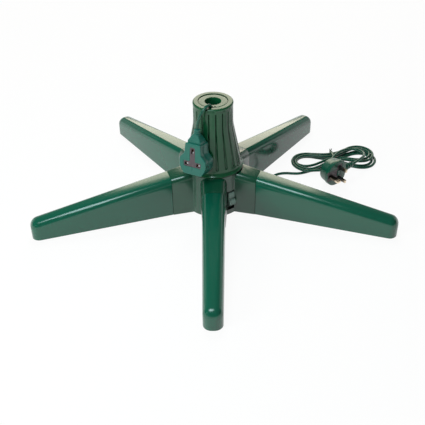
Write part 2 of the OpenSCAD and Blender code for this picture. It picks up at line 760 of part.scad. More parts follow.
// ---- Drive ----
function inv(a) = tan(a) * 180 / PI - a;
pressure = 20;
tooth_play = 0.07;
addendum = 0.9;
dedendum = 1.15;
function tooth_half(rp, n) = 90 / n - tooth_play / rp * 180 / PI;
function flank(rp, n, r) = let (rb = rp * cos(pressure))
    tooth_half(rp, n) + inv(pressure) - (r > rb ? inv(acos(rb / r)) : 0);
function gear_outline(n) =
    let (rp = gear_module * n / 2, root = rp - dedendum * gear_module, tip = rp + addendum * gear_module,
         low = max(root, rp * cos(pressure)) + thin / 2,
         rs = [root, low, (low + rp) / 2, rp, (rp + tip) / 2, tip])
    [for (k = [0:n - 1]) for (s = [-1, 1]) for (j = [0:len(rs) - 1])
        let (r = rs[s < 0 ? j : len(rs) - 1 - j]) polar(r, 360 * k / n + s * flank(rp, n, r))];
module drive_gear() {
    color(nylon) difference() {
        translate([0, 0, gear_z]) {
            rotate(drive_az) linear_extrude(gear_w) polygon(gear_outline(gear_teeth));
            cylinder(r = tube_r + gear_hub_wall, h = gear_w + gear_hub_rise, $fn = fine);
        }
        tube_hole(gear_z - cut, gear_w + gear_hub_rise + 2 * cut);
    }
}
module at_shaft() {
    at_polar(shaft_at, drive_az) children();
}
module drive_pinion() {
    color(brass) at_shaft() difference() {
        translate([0, 0, gear_z - pinion_extra]) rotate(180 + 180 / pinion_teeth)
            linear_extrude(gear_w + 2 * pinion_extra) polygon(gear_outline(pinion_teeth));
        translate([0, 0, gear_z - pinion_extra - cut])
            cylinder(r = shaft_r + run_gap, h = gear_w + 2 * pinion_extra + 2 * cut, $fn = medium);
    }
}
shaft_sink = 8;
shaft_z = gear_plate_z - shaft_sink + seat;
shaft_top = gear_z + gear_w + 2 * pinion_extra;
module motor_shaft() {
    color(steel) at_shaft() translate([0, 0, shaft_z])
        cylinder(r = shaft_r, h = shaft_top - shaft_z, $fn = medium);
}
module motor_body() {
    color(zinc) difference() {
        union() {
            at_polar(motor_at, drive_az) translate([0, 0, motor_z]) {
                cylinder(r = motor_r, h = motor_h, $fn = fine);
                translate([-boss_r, -motor_lug_at, motor_h - motor_lug_t])
                    cube([2 * boss_r, 2 * motor_lug_at, motor_lug_t]);
                for (s = [-1, 1]) translate([0, s * motor_lug_at, motor_h - motor_lug_t])
                    cylinder(r = boss_r, h = motor_lug_t, $fn = medium);
            }
        }
        at_shaft() translate([0, 0, gear_plate_z - shaft_sink])
            cylinder(r = shaft_r + run_gap, h = shaft_sink + cut, $fn = medium);
        at_polar(motor_at, drive_az) for (s = [-1, 1]) translate([0, s * motor_lug_at, motor_z])
            cylinder(r = screw_r + seat, h = motor_h + cut, $fn = medium);
    }
}
module motor_screws() {
    color(zinc) at_polar(motor_at, drive_az) for (s = [-1, 1])
        translate([0, s * motor_lug_at, gear_plate_z - motor_lug_t]) screw(motor_lug_t + gear_plate_t + cut);
}

// ---- Bearing ----
module race(z) {
    color(steel) difference() {
        translate([0, 0, z]) ring(race_r + race_w / 2, race_r - race_w / 2, race_t);
        rotate_extrude($fn = fine) translate([race_r, ball_z]) circle(r = ball_r + groove_gap, $fn = medium);
    }
}
module lower_race() race(hub_h);
module upper_race() race(upper_race_z);
module bearing_balls() {
    color(steel) for (i = [0:ball_count - 1]) at_polar(race_r, 360 * i / ball_count)
        translate([0, 0, ball_z]) sphere(r = ball_r, $fn = medium);
}
module bearing_cage() {
    color(nylon) difference() {
        translate([0, 0, ball_z - cage_t / 2]) ring(race_r + cage_w / 2, race_r - cage_w / 2, cage_t);
        for (i = [0:ball_count - 1]) at_polar(race_r, 360 * i / ball_count)
            translate([0, 0, ball_z - cage_t]) cylinder(r = ball_r + run_gap, h = 2 * cage_t, $fn = medium);
    }
}

// ---- Turning column ----
module flex_hole(z, h) {
    at_polar(flex_at, flex_az) translate([0, 0, z]) cylinder(r = flex_r + seat, h = h, $fn = medium);
}
module rotor_base() {
    color(housing_green) difference() {
        translate([0, 0, rotor_base_z])
            ring(column_inner_r(rotor_base_top) - fit, tube_r + seat, rotor_base_t);
        flex_hole(rotor_base_z - cut, rotor_base_t + 2 * cut);
        for (a = post_az) at_polar(post_at, a) translate([0, 0, rotor_base_z - cut])
            cylinder(r = screw_r + seat, h = rotor_base_t + 2 * cut, $fn = medium);
    }
}
module rotor_screws() {
    color(zinc) for (a = post_az) at_polar(post_at, a) translate([0, 0, rotor_base_z])
        screw(rotor_base_t + rotor_screw_bite);
}
module column_profile() {
    inner_top = ledge_z - ledge_t;
    w = column_wall;
    polygon(concat(
        [[skirt_r - w, skirt_z], [skirt_r - skirt_bevel, skirt_z], [skirt_r, skirt_z + skirt_bevel]],
        [for (i = [0:flare_steps]) let (u = i / flare_steps)
            [waist_r + (skirt_r - waist_r) * pow(1 - u, flare_power),
             skirt_z + skirt_band + (waist_rise - skirt_band) * u]],
        [[neck_r, neck_z], [neck_r, rim_z - rim_flare], [rim_r, rim_z]],
        [for (a = [0:15:90]) [rim_r - rim_round * (1 - cos(a)), column_h - rim_round * (1 - sin(a))]],
        [[ring_inner_r + ring_bevel, column_h], [ring_inner_r, column_h - ring_bevel],
         [ring_inner_r, ledge_z], [tube_r + fit, ledge_z], [tube_r + fit, inner_top], [neck_r - w, inner_top],
         [neck_r - w, neck_z], [waist_r - w, waist_z]]
    ));
}
// One flute: a groove down the neck and on down the cone, running out at both ends
module flute() {
    kink = flute_depth * tan(cone_tilt / 2);
    low = [flute_low_r, flute_low_z];
    inward = -[cos(cone_tilt), sin(cone_tilt)];
    upward = [-sin(cone_tilt), cos(cone_tilt)];
    translate([0, flute_w / 2, 0]) rotate([90, 0, 0]) linear_extrude(flute_w) polygon([
        [neck_r - flute_depth, flute_top_z - flute_depth], [neck_r - flute_depth, neck_z - kink],
        low + flute_depth * (inward + upward), low, low + [cut, 0],
        [neck_r + 2 * cut, neck_z], [neck_r + 2 * cut, flute_top_z], [neck_r, flute_top_z]
    ]);
}
module column_shell() {
    color(housing_green) difference() {
        union() {
            rotate_extrude($fn = fine) column_profile();
            for (a = post_az) rotate(a) translate([0, 0, rotor_base_top]) {
                translate([post_at, 0, 0]) cylinder(r = boss_r, h = post_h, $fn = medium);
                translate([0, post_rib_t / 2, 0]) rotate([90, 0, 0]) linear_extrude(post_rib_t) polygon([
                    [post_at, 0], [column_inner_r(rotor_base_top) + post_root, 0],
                    [column_inner_r(rotor_base_top + post_h) + post_root, post_h], [post_at, post_h]
                ]);
            }
        }
        for (i = [0:flute_count - 1]) rotate(flute_az + i * 360 / flute_count) flute();
        flex_hole(ledge_z - ledge_t - cut, ledge_t + 2 * cut);
        for (a = post_az) at_polar(post_at, a) translate([0, 0, rotor_base_top - cut])
            cylinder(r = screw_r + run_gap, h = rotor_screw_bite + screw_short, $fn = medium);
    }
}
module pole_socket() {
    color(zinc) difference() {
        union() {
            translate([0, 0, tube_z]) cylinder(r = tube_r, h = ledge_z - tube_z, $fn = fine);
            translate([0, 0, rotor_base_top]) cylinder(r = tube_flange_r, h = tube_flange_t, $fn = fine);
        }
        translate([0, 0, pole_floor_z]) cylinder(r = socket_bore_r, h = column_h, $fn = fine);
        difference() {
            flex_hole(rotor_base_top - cut, tube_flange_t + 2 * cut);
            cylinder(r = tube_r, h = column_h, $fn = fine);
        }
    }
}
module pole_adapter() {
    color(housing_green) difference() {
        union() {
            translate([0, 0, ledge_z]) cylinder(r = flange_r, h = flange_t, $fn = fine);
            translate([0, 0, sleeve_z]) cylinder(r = pole_r + sleeve_wall, h = sleeve_l + cut, $fn = fine);
        }
        translate([0, 0, sleeve_z - cut]) cylinder(r = pole_r, h = column_h - sleeve_z + cut, $fn = fine);
        rotate(flex_az) translate([flex_at - flex_r - fit, -notch_w / 2, ledge_z - cut])
            cube([flange_r, notch_w, flange_t + 2 * cut]);
        at_polar(flex_at, slot_az) translate([-slot_size[0] / 2, -slot_size[1] / 2, ledge_z - cut])
            cube([slot_size[0], slot_size[1], flange_t + 2 * cut]);
    }
}

// ---- Slip rings ----
function ring_z(i) = carrier_z + ring_gap + i * ring_step;
module slip_ring_carrier() {
    color(dark_plastic) difference() {
        union() {
            translate([0, 0, carrier_z]) cylinder(r = carrier_core_r, h = carrier_h, $fn = fine);
            for (i = [0:ring_count]) translate([0, 0, carrier_z + i * ring_step])
                cylinder(r = carrier_lip_r, h = ring_gap, $fn = fine);
        }
        tube_hole(carrier_z - cut, carrier_h + 2 * cut);
    }
}
module slip_ring(i) {
    color(brass) translate([0, 0, ring_z(i)]) ring(ring_r, carrier_core_r + run_gap, ring_h);
}
module contact_block() {
    color(nylon) difference() {
        translate([block_x, block_y, carrier_z]) cube([block_l, block_w, deck_z - carrier_z]);
        for (i = [0:ring_count - 1]) translate([block_x - cut, ring_r + finger_gap - run_gap,
            ring_z(i) + (ring_h - finger_w) / 2 - run_gap])
            cube([slot_l, finger_t + 2 * run_gap, finger_w + 2 * run_gap]);
    }
}
module contact_finger(i) {
    color(brass) translate([finger_back, ring_r + finger_gap, ring_z(i) + (ring_h - finger_w) / 2])
        cube([block_x + finger_hold - finger_back, finger_t, finger_w]);
}

// ---- Switch ----
module at_switch() {
    rotate(switch_az) translate([rocker_pivot_at, 0, rocker_z]) children();
}
module switch_block(from, to) {
    rotate(switch_az) translate([from, -bezel_w / 2, bezel_low])
        cube([to - from, bezel_w, bezel_high - bezel_low]);
}
module pivot_pin(play) {
    at_switch() rotate([90, 0, 0]) cylinder(r = rocker_pin_r + play,
        h = rocker_w + 2 * (rocker_gap + pin_reach + play), center = true, $fn = medium);
}
module switch_bezel() {
    opening_w = rocker_w + 2 * rocker_gap;
    color(dark_plastic) difference() {
        switch_block(bezel_back, bezel_front);
        rotate(switch_az) translate([bezel_back - cut, -opening_w / 2, rocker_z - rocker_opening_h / 2])
            cube([bezel_front - bezel_back + 2 * cut, opening_w, rocker_opening_h]);
        rotate(switch_az) translate([bezel_front - pocket_depth, -opening_w / 2, bezel_low + pocket_lip])
            cube([pocket_depth + cut, opening_w, pocket_h]);
        pivot_pin(run_gap);
    }
}
module switch_body() {
    color(dark_plastic) switch_block(switch_body_back, bezel_back);
}
module switch_rocker() {
    half = rocker_h / 2;
    color(grey_green) {
        at_switch() rotate([0, -rocker_tilt, 0]) rotate([90, 0, 0]) linear_extrude(rocker_w, center = true)
            polygon([
                [rocker_back, -half], [rocker_face - rocker_bevel, -half], [rocker_face, rocker_bevel - half],
                [rocker_face, -valley_w / 2], [rocker_face - valley_depth, -valley_w / 6],
                [rocker_face - valley_depth, valley_w / 6], [rocker_face, valley_w / 2],
                [rocker_face, half - rocker_bevel], [rocker_face - rocker_bevel, half], [rocker_back, half]
            ]);
        pivot_pin(0);
    }
}

// ---- Trailing socket ----
module in_socket() {
    translate(socket_face_at) rotate([0, 0, socket_yaw]) rotate([0, -socket_lean, 0])
        rotate([socket_roll, 0, 0]) children();
}
module socket_outline() polygon(rounded(mirrored(socket_half), socket_round));
pin_at = [[0, pin_pitch / 2], [-pin_pitch / 2, -pin_pitch / 2], [pin_pitch / 2, -pin_pitch / 2]];
pin_sizes = [earth_size, pin_size, pin_size];
module tee(play) {
    stem_w = tee_stem_w - 2 * play;
    bar = tee_bar - 2 * play * [1, 1];
    translate([-stem_w / 2, -pin_pitch / 2]) square([stem_w, pin_pitch + tee_top - play]);
    translate([-bar[0] / 2, -pin_pitch / 2 - bar[1] / 2]) square(bar);
}
module slots(play) {
    for (i = [0:2]) translate(pin_at[i]) square(pin_sizes[i] + [play, play], center = true);
}
module socket_front() {
    color(cord_green) in_socket() difference() {
        translate([-front_t, 0, 0]) stand_up(front_t) socket_outline();
        translate([-insert_t, 0, 0]) stand_up(insert_t + cut) tee(0);
        translate([-front_t - cut, 0, 0]) stand_up(front_t + 2 * cut) slots(slot_play + 3 * contact_wall);
    }
}
module socket_back() {
    color(cord_green) in_socket() difference() {
        translate([-socket_t, 0, 0]) stand_up(socket_t - front_t) socket_outline();
        translate([-socket_t + shell_t, 0, 0]) stand_up(socket_t - front_t) intersection() {
            scale(1 - shell_t / socket_half_w) socket_outline();
            translate([-socket_half_w, -socket_drop])
                square([2 * socket_half_w, socket_drop + socket_top - 2 * shell_t]);
        }
        translate([-socket_t - cut, 0, socket_screw_z]) rotate([0, 90, 0])
            cylinder(r = pin_hole_r, h = shell_t + 2 * cut, $fn = medium);
    }
}
module socket_insert() {
    color(insert_brown) in_socket() difference() {
        translate([-insert_t, 0, 0]) stand_up(insert_t) tee(insert_gap);
        translate([-insert_t - cut, 0, 0]) stand_up(insert_t + 2 * cut) slots(slot_play);
    }
}
module socket_contacts() {
    color(brass) in_socket() translate([-insert_t - fit - contact_l, 0, 0]) for (i = [0:2]) difference() {
        stand_up(contact_l) translate(pin_at[i])
            square(pin_sizes[i] + (slot_play + 2 * contact_wall) * [1, 1], center = true);
        translate([cut, 0, 0]) stand_up(contact_l) translate(pin_at[i])
            square(pin_sizes[i] + slot_play * [1, 1], center = true);
    }
}
module socket_screw() {
    color(zinc) in_socket() translate([run_gap - socket_t, 0, socket_screw_z]) rotate([0, 90, 0])
        cylinder(r = screw_r, h = socket_t - front_t - run_gap, $fn = medium);
}
module socket_boot() {
    color(cord_green) in_socket() translate([-socket_t / 2, 0, socket_top]) {
        hull() {
            translate([-boot_foot[0] / 2, -boot_foot[1] / 2, 0]) cube(boot_foot);
            translate([0, 0, boot_cone_h]) cylinder(r = boot_neck_r, h = thin, $fn = hull_fn);
        }
        cylinder(r = boot_neck_r - boot_step, h = boot_cone_h + boot_ring_h, $fn = medium);
        cylinder(r = boot_neck_r - 3 * boot_step, h = socket_boot_h, $fn = medium);
        translate([0, 0, socket_boot_h - boot_collar_h])
            cylinder(r = boot_neck_r - 2 * boot_step, h = boot_collar_h, $fn = medium);
    }
}
module riser_flex() {
    color(cord_green) at_polar(flex_at, flex_az) translate([0, 0, carrier_top])
        cylinder(r = flex_r, h = ledge_z - carrier_top, $fn = medium);
}
module socket_flex() {
    color(cord_green) tube(flex_route, flex_r, 10);
}

// ---- Mains cord ----
module cord_gland() {
    inside = -gland_lip - 2 * seat;
    outside = hub_wall + seat;
    color(cord_green) rotate(gland_az) translate([cavity_r, 0, gland_z]) rotate([0, 90, 0]) {
        translate([0, 0, inside]) cylinder(r = gland_r, h = gland_lip, $fn = medium);
        translate([0, 0, inside]) cylinder(r = gland_neck_r, h = outside - inside, $fn = medium);
        translate([0, 0, outside]) cylinder(r = gland_r, h = gland_lip, $fn = medium);
        translate([0, 0, outside])
            cylinder(r1 = gland_r - gland_tip_wall, r2 = cord_r + gland_tip_wall, h = gland_l, $fn = medium);
    }
}
module mains_cord() {
    color(cord_green) tube(mains_full_route, cord_r, 10);
}
module mains_hank() {
    color(cord_green) tube(hank_route, cord_r, 6);
}
module plug_cord() {
    color(cord_green) tube(plug_cord_route, cord_r, 10);
}
module cord_tie() {
    half_w = hank_waist + cord_r + tie_gap;
    low = cord_z + hank_lift - cord_r - tie_gap;
    high = low + hank_layer + 2 * (cord_r + tie_gap);
    color(cord_green) translate(with_z(hank_at, 0)) rotate(hank_turn) {
        difference() {
            translate([-tie_w / 2, -half_w - tie_t, low - tie_t])
                cube([tie_w, 2 * (half_w + tie_t), high - low + 2 * tie_t]);
            translate([-tie_w, -half_w, low]) cube([2 * tie_w, 2 * half_w, high - low]);
        }
        translate([-tie_head[0] / 2, half_w, (low + high - tie_head[2]) / 2]) cube(tie_head);
        translate([-tie_w / 4, half_w + tie_t, high - tie_t]) rotate([tail_lean, 0, 0])
            cube([tie_w / 2, tie_t, tail_l]);
    }
}

// ---- Plug ----
module in_plug() {
    translate(plug_at) rotate([0, 0, plug_yaw]) rotate([90, 0, 0]) children();
}
module plug_outline(k = 1) polygon(rounded(scaled(mirrored(plug_half), k), 2, 2));
module plug_body() {
    color(cord_green) in_plug() difference() {
        hull() {
            translate([-plug_skirt_t, 0, 0]) stand_up(plug_skirt_t) plug_outline();
            translate([-plug_t, 0, 0]) stand_up(thin) plug_outline(plug_back_scale);
        }
        translate([-insert_t, 0, 0]) stand_up(insert_t + cut) tee(0);
    }
}
module plug_insert() {
    color(insert_brown) in_plug() difference() {
        translate([-insert_t, 0, 0]) stand_up(insert_t) tee(insert_gap);
        translate([-insert_t - cut, 0, 0]) stand_up(insert_t + 2 * cut) slots(pin_play);
        translate([-insert_t / 2, 0, 0]) stand_up(insert_t) fuse_outline(insert_gap);
    }
}
module fuse_outline(play) {
    translate([0, fuse_z - pin_pitch / 2]) square(fuse_size + 2 * play * [1, 1], center = true);
}
module fuse_carrier() {
    color(cord_green) in_plug() translate([run_gap - insert_t / 2, 0, 0])
        stand_up(insert_t / 2 + fuse_proud) fuse_outline(0);
}
module pin(i, l, play) {
    translate([run_gap - insert_t, 0, 0]) stand_up(insert_t + l - run_gap) translate(pin_at[i])
        square(pin_sizes[i] - [play, play], center = true);
}
module plug_pins() {
    color(brass) in_plug() {
        pin(0, earth_pin_l, 0);
        pin(1, pin_l, 2 * sleeve_t);
        pin(2, pin_l, 2 * sleeve_t);
    }
}
module pin_sleeves() {
    color(dark_plastic) in_plug() for (i = [1, 2]) difference() {
        translate([run_gap, 0, 0]) stand_up(sleeve_pin_l) translate(pin_at[i])
            square(pin_sizes[i], center = true);
        translate([-cut, 0, 0]) stand_up(sleeve_pin_l + 2 * cut) translate(pin_at[i])
            square(pin_sizes[i] - (2 * sleeve_t - run_gap) * [1, 1], center = true);
    }
}
module plug_boot() {
    color(cord_green) in_plug() translate([-plug_boot_depth, 0, -plug_tail]) rotate([180, 0, 0]) {
        cylinder(r1 = relief_r, r2 = relief_end_r, h = plug_boot_l, $fn = medium);
        for (i = [0:relief_ribs - 1]) translate([0, 0, relief_start + i * relief_step])
            cylinder(r = relief_r - i * relief_taper, h = relief_rib_h, $fn = medium);
    }
}

hub_housing();
base_plate();
base_screws();
gear_plate();
gear_plate_screws();
lower_bush();
motor_body();
motor_screws();
motor_shaft();
drive_pinion();
contact_block();
contact_finger(2);  // contact_finger_live
contact_finger(1);  // contact_finger_neutral
contact_finger(0);  // contact_finger_earth
lower_race();
upper_race();
bearing_balls();
bearing_cage();
switch_bezel();
switch_body();
switch_rocker();
leg(0);  // leg_front
leg(1);  // leg_front_right
leg(2);  // leg_back_right
leg(3);  // leg_back_left
leg(4);  // leg_front_left
rotor_base();
rotor_screws();
column_shell();
pole_socket();
pole_adapter();
drive_gear();
slip_ring_carrier();
slip_ring(2);  // slip_ring_live
slip_ring(1);  // slip_ring_neutral
slip_ring(0);  // slip_ring_earth
riser_flex();
socket_flex();
socket_boot();
socket_front();
socket_back();
socket_insert();
socket_contacts();
socket_screw();
cord_gland();
mains_cord();
mains_hank();
cord_tie();
plug_cord();
plug_boot();
plug_body();
plug_insert();
plug_pins();
pin_sleeves();
fuse_carrier();
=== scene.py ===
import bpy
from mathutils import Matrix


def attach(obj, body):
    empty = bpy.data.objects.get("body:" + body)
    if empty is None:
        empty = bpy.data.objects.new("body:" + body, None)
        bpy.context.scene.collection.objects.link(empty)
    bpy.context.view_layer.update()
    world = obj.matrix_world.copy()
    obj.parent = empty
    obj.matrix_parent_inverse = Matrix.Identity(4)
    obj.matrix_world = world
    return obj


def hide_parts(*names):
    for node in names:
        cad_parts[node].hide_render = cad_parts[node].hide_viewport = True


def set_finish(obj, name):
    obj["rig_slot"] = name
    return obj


bl_info = {
    "name": "Rotating tree stand",
    "version": (1, 0, 0),
    "blender": (4, 5, 0),
    "location": "View3D > Sidebar > Tree stand",
    "description": "Builds a five-legged stand whose fluted column turns on a driven hub",
    "category": "Object",
}

import math

import bmesh
import bpy
from mathutils import Matrix, Vector

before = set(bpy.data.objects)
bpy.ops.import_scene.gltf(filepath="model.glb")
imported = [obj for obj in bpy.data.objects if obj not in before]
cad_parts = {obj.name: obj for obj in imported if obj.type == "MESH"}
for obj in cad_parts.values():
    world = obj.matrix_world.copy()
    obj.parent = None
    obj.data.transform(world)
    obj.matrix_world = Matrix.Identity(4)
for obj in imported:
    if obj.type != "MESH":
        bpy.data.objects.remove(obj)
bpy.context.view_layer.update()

# Blender works in metres. The drawing's numbers below are millimetres and degrees.
MM = 0.001


def rotation(degrees, axis="Z"):
    """A turn in degrees."""
    return Matrix.Rotation(math.radians(degrees), 4, axis)


def offset(x=0, y=0, z=0):
    """A move in millimetres."""
    return Matrix.Translation((x * MM, y * MM, z * MM))


# Legs: their order round the hub from the front one, and a leg's width and height at its root and at its tip
LEG_SIDES = ("front", "front_right", "back_right", "back_left", "front_left")
LEG_STEP = 72
LEG_FRONT = -90
SEAM_AT = 80
LEG_REACH = 320
LEG_MIDWAY = 200
LEG_ROOT = (38.5, 73.5)
LEG_TIP = (30, 32.7)
LEG_SKIN = 1.5
# At its root a leg's rounding reaches this share as far across its top as down its side. At its tip it is round.
EDGE_SHARE = 0.7

# Hub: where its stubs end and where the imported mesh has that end, their half width and height there, and how much
# they spread and rise towards the drum
STUB_AT = 79.85
STUB_FACE = 79.83
STUB_END = (19.75, 73.5)
STUB_SPREAD = 2.25 / 36.85
STUB_RISE = 6.3 / 36.85
HUB_LIFT = 2.7
DRUM_R = 49

# Column: the ledge inside its rim, the azimuth of one flute, and how many strips lie from flute to flute
LEDGE_AT = 194.8
FLUTE_AT = -82
FLUTE_STRIPS = 6

# The cords' routes, as the drawing gives them. LEAD is how far a cord runs straight at its ends
CORD_Z = 2.6
LEAD = 5.4
GLAND_TURN = 18
GLAND_HEIGHT = 10.2
GLAND_END = 70.4
MAINS_ROUTE = [
    (77.6, 25.8, 10), (82.4, 30, 9), (86.8, 36, 7), (90.8, 43.6, 5), (94.8, 52.4, 3.5),
    (99.5, 61.6, CORD_Z), (105.5, 71, CORD_Z), (113, 79.4, CORD_Z), (123, 84.6, CORD_Z),
    (134, 86, CORD_Z), (145, 85, CORD_Z), (155.4, 84.6, CORD_Z),
]
PLUG_CORD_ROUTE = [
    (203.5, 86.9, 9.6), (209.2, 90.5, 11.4), (213.9, 95.9, 13.6), (217.6, 102.8, 15.6),
    (222, 112.4, 17.4), (228.8, 123.6, 18.3), (237.2, 134.4, 18), (246.6, 142.6, 17.2),
    (256, 147.4, 16.4), (265.4, 148.6, 16), (274, 145.8, 16.4), (280.4, 139.2, 17.3),
    (283.4, 130.2, 18.6), (282.9, 120.4, 20.2), (279.2, 110.8, 21.8), (272.8, 102, 23.2),
]
FLEX_ROUTE = [
    (-3.6, -20.3, LEDGE_AT), (-3.6, -20.3, 197.2), (-3.8, -21.2, 200.3), (-4.6, -23, 203),
    (-6, -25.6, 205), (-8.3, -28.9, 205.7), (-11.3, -32.1, 204.3), (-14.7, -35, 201.2),
    (-18.1, -37.4, 196.8), (-20.9, -38.9, 191.6), (-22.8, -39.4, 185.8), (-24.2, -39.1, 180.6),
]
# The hank: its middle, turn, loops, points to a loop and start. Then half its length, its half width at the lobes and
# at the waist, and what each loop takes off them. Then the rise of its second layer, the sharpness of its waist, its
# lift under the tie, and how far its two layers cross
HANK_AT = (227, 128.5)
HANK_TURN = 10
HANK_LOOPS = 4
HANK_RINGS = 24
HANK_START = 232
HANK_A, HANK_B, HANK_WAIST = 82, 50, 16
HANK_STEP_A, HANK_STEP_B, HANK_STEP_WAIST = 5.8, 10, 8
HANK_LAYER = 6.2
HANK_PINCH = 5
HANK_LIFT, HANK_LIFT_L = 1.7, 26
HANK_SWING = 5

# Where the trailing socket and the plug stand: turned, then leant or laid over
SOCKET_FRAME = offset(-33.9, -58.5, 127) @ rotation(-121.5) @ rotation(-10, "Y") @ rotation(3.5, "X")
PLUG_FRAME = offset(218.1, 47.4, 24.1) @ rotation(-52) @ rotation(90, "X")

# The right halves of their outlines, the pins from the plug's face, and the T of each insert: half the width of
# its bar, half the bar's height and half the width of its stem
SOCKET_HALF = [(14.3, 24.2), (16, 6.2), (25.3, -2.7), (25.3, -16.3), (17, -29.5)]
PLUG_HALF = [(6.5, 18), (14.5, 14.2), (20.8, 7.6), (23.9, -1), (24.1, -10), (22.4, -18.4), (17.6, -25), (10, -28.4)]
PIN_PITCH = 22.23
PIN_AT = [(0, PIN_PITCH / 2), (-PIN_PITCH / 2, -PIN_PITCH / 2), (PIN_PITCH / 2, -PIN_PITCH / 2)]
PIN_SIZES = [(4, 8), (6.35, 4), (6.35, 4)]
PIN_LENGTHS = (22.7, 17.7, 17.7)
SOCKET_TEE = (16.6, 4.7, 5)
PLUG_TEE = (17.5, 6.5, 10)
TEE_DEPTH = 2
SOCKET_T = 26
FRONT_T = 10
JOINT_GAP = 0.15
BOOT_TOP = 46.2
DRAWER_AT = 0.5 - PIN_PITCH / 2

# The switch: its azimuth on the hub, its pivot's radius and height, and the rocker's tilt at rest
SWITCH_TURN = -54
SWITCH_PIVOT = (47, 34)
SWITCH_TILT = 15
SWITCH_FACE = 49.5
SWITCH_HALF = 6.4

# Finishes, in metres: where a pin's dark part ends and its bright tip starts, and the depth of metals' brush marks
PIN_DARK_TO_BRIGHT = (0.0135, 0.0175)
BRUSH_DEPTH = 0.00001
# A noise lies mostly between these values
NOISE_LOW, NOISE_HIGH = 0.3, 0.7
# The skin of glossy mouldings: its cells per metre and its depth
FINE_SKIN = {"skin": 420, "skin_depth": 0.000008}
# Painted shade in hollows: their colour and gloss are darkest where the ambient occlusion within this reach is at
# most the first share, and untouched from the second share on
PAINTED_SHADE_REACH = 0.005
PAINTED_SHADE_OPEN = (0.6, 0.95)

# The camera, fitted to the photograph's frame: metres, radians and pixels
CAMERA_AT = (0.013915, -1.0617, 0.7519)
CAMERA_YAW, CAMERA_PITCH, CAMERA_ROLL = -0.0164, 0.6314, -0.0155
CAMERA_FOCAL = 730.816
FRAME_SIDE = 425
SENSOR = 36

# The stage: floor, world and lamps. A lamp has a name, place, aim, size, power, tint, and whether gloss shows it
FLOOR_SIDE = 40
FLOOR_AT = -0.0003
FLOOR_PAPER = (0.90, 0.89, 0.88, 1)
FLOOR_WHITE = 0.93
WHITE = (1, 1, 1, 1)
WORLD_LIGHT = 0.12
HORIZON = (0.05, 0.12)
AIM = (0, 0, 0.1)
LAMPS = (
    ("back_panel", (0, 3.2, 1.4), AIM, (2.2, 1.8), 44, (1, 0.9, 0.74), True),
    ("front_panel", (-0.22, -0.5, 0.94), (-0.05, -0.1, 0.05), (0.46, 0.42), 4.6, (0.74, 0.96, 1), True),
    ("key_panel", (-0.1, 1.0, 1.75), AIM, (0.7, 0.7), 17, (0.96, 1, 0.99), False),
    ("fill_panel", (-1.6, -1.2, 0.8), AIM, (0.8, 0.8), 24, (0.96, 1, 0.99), False),
    ("left_panel", (-2.1, 2.0, 0.8), AIM, (1.7, 1.2), 2.2, (1, 1, 1), True),
    ("right_panel", (2.2, 1.9, 0.8), AIM, (1.7, 1.2), 2.6, (1, 1, 1), True),
)


def colour_property(name, description, default):
    return bpy.props.FloatVectorProperty(
        name=name, description=description, subtype="COLOR", size=3, min=0, max=1, default=default)


def length_property(name, description, low, high, default):
    return bpy.props.FloatProperty(
        name=name, description=description, unit="LENGTH", min=low, max=high, default=default)


class StandColours(bpy.types.PropertyGroup):
    """Colours of the stand's mouldings, cords and metals"""

    housing: colour_property("Housing", "Glossy moulding of the legs", (0.001, 0.090, 0.051))
    hub: colour_property("Hub", "Glossy moulding of the hub and its stubs", (0.002, 0.058, 0.028))
    column: colour_property("Column", "Glossy moulding of the column and its adapter", (0.004, 0.070, 0.025))
    cord: colour_property("Cord", "Cords, plug and twist tie", (0.003, 0.075, 0.043))
    socket: colour_property("Socket", "Moulding of the trailing socket", (0.010, 0.120, 0.088))
    insert: colour_property("Insert", "Brown insert of the plug and the socket", (0.085, 0.064, 0.070))
    rocker: colour_property("Rocker", "Paddle of the switch", (0.220, 0.310, 0.260))
    # The surround is dark plastic, made darker still as painted shade for the recess round the rocker
    switch: colour_property("Switch surround", "Surround of the switch", (0.002, 0.012, 0.007))
    dark: colour_property("Dark plastic", "Base plate, switch case and pin sleeves", (0.012, 0.014, 0.013))
    nylon: colour_property("Nylon", "Gear, bush and bearing cage", (0.72, 0.70, 0.62))
    # The pins' finish makes them dark along their length and bright at their tips
    pins: colour_property("Pins", "Worn brass of the plug's pins", (0.74, 0.62, 0.47))
    brass: colour_property("Brass", "Contacts and slip rings", (0.80, 0.56, 0.26))
    steel: colour_property("Steel", "Races, balls, shaft and gear plate", (0.56, 0.57, 0.59))
    zinc: colour_property("Zinc", "Screws, motor can and pole socket", (0.62, 0.62, 0.58))


class StandSizes(bpy.types.PropertyGroup):
    """Sizes of the forms that the scene adds to the frame"""

    leg_edge: length_property("Leg edge", "Rounding of a leg's top edges and of its tip", 0.009, 0.0135, 0.013)
    leg_wall: length_property("Leg wall", "Wall of a leg", 0.002, 0.004, 0.003)
    seam_round: length_property("Seam edge", "Rounding of the edges that meet at a seam", 0.0002, 0.001, 0.0006)
    rib_step: length_property("Rib step", "Distance between the cross ribs under a leg", 0.04, 0.07, 0.055)
    flutes: bpy.props.IntProperty(
        name="Flutes", description="Number of flutes round the column", min=12, max=18, default=18)
    flute_width: length_property("Flute width", "Width of a flute", 0.0046, 0.0058, 0.0052)
    flute_depth: length_property("Flute depth", "Depth of a flute", 0.0006, 0.0018, 0.0018)
    case_round: length_property(
        "Case edge", "Rounding of the edges of the socket and the plug", 0.0006, 0.002, 0.0013)
    cord_radius: length_property("Mains cord radius", "Radius of the mains cord", 0.0022, 0.0025, 0.0025)
    flex_radius: length_property(
        "Socket cord radius", "Radius of the trailing socket's cord", 0.0022, 0.00245, 0.00245)


class Step:
    """What the operators share"""

    bl_options = {"REGISTER", "UNDO"}


# ---- Bench work ----

def add(shape, name, **settings):
    """Adds a primitive with nothing else selected, and leaves it in object mode with its place in its mesh."""
    bpy.ops.object.select_all(action="DESELECT")
    getattr(bpy.ops.mesh, f"primitive_{shape}_add")(**settings)
    piece = bpy.context.object
    piece.name = piece.data.name = name
    settle(piece)
    return piece


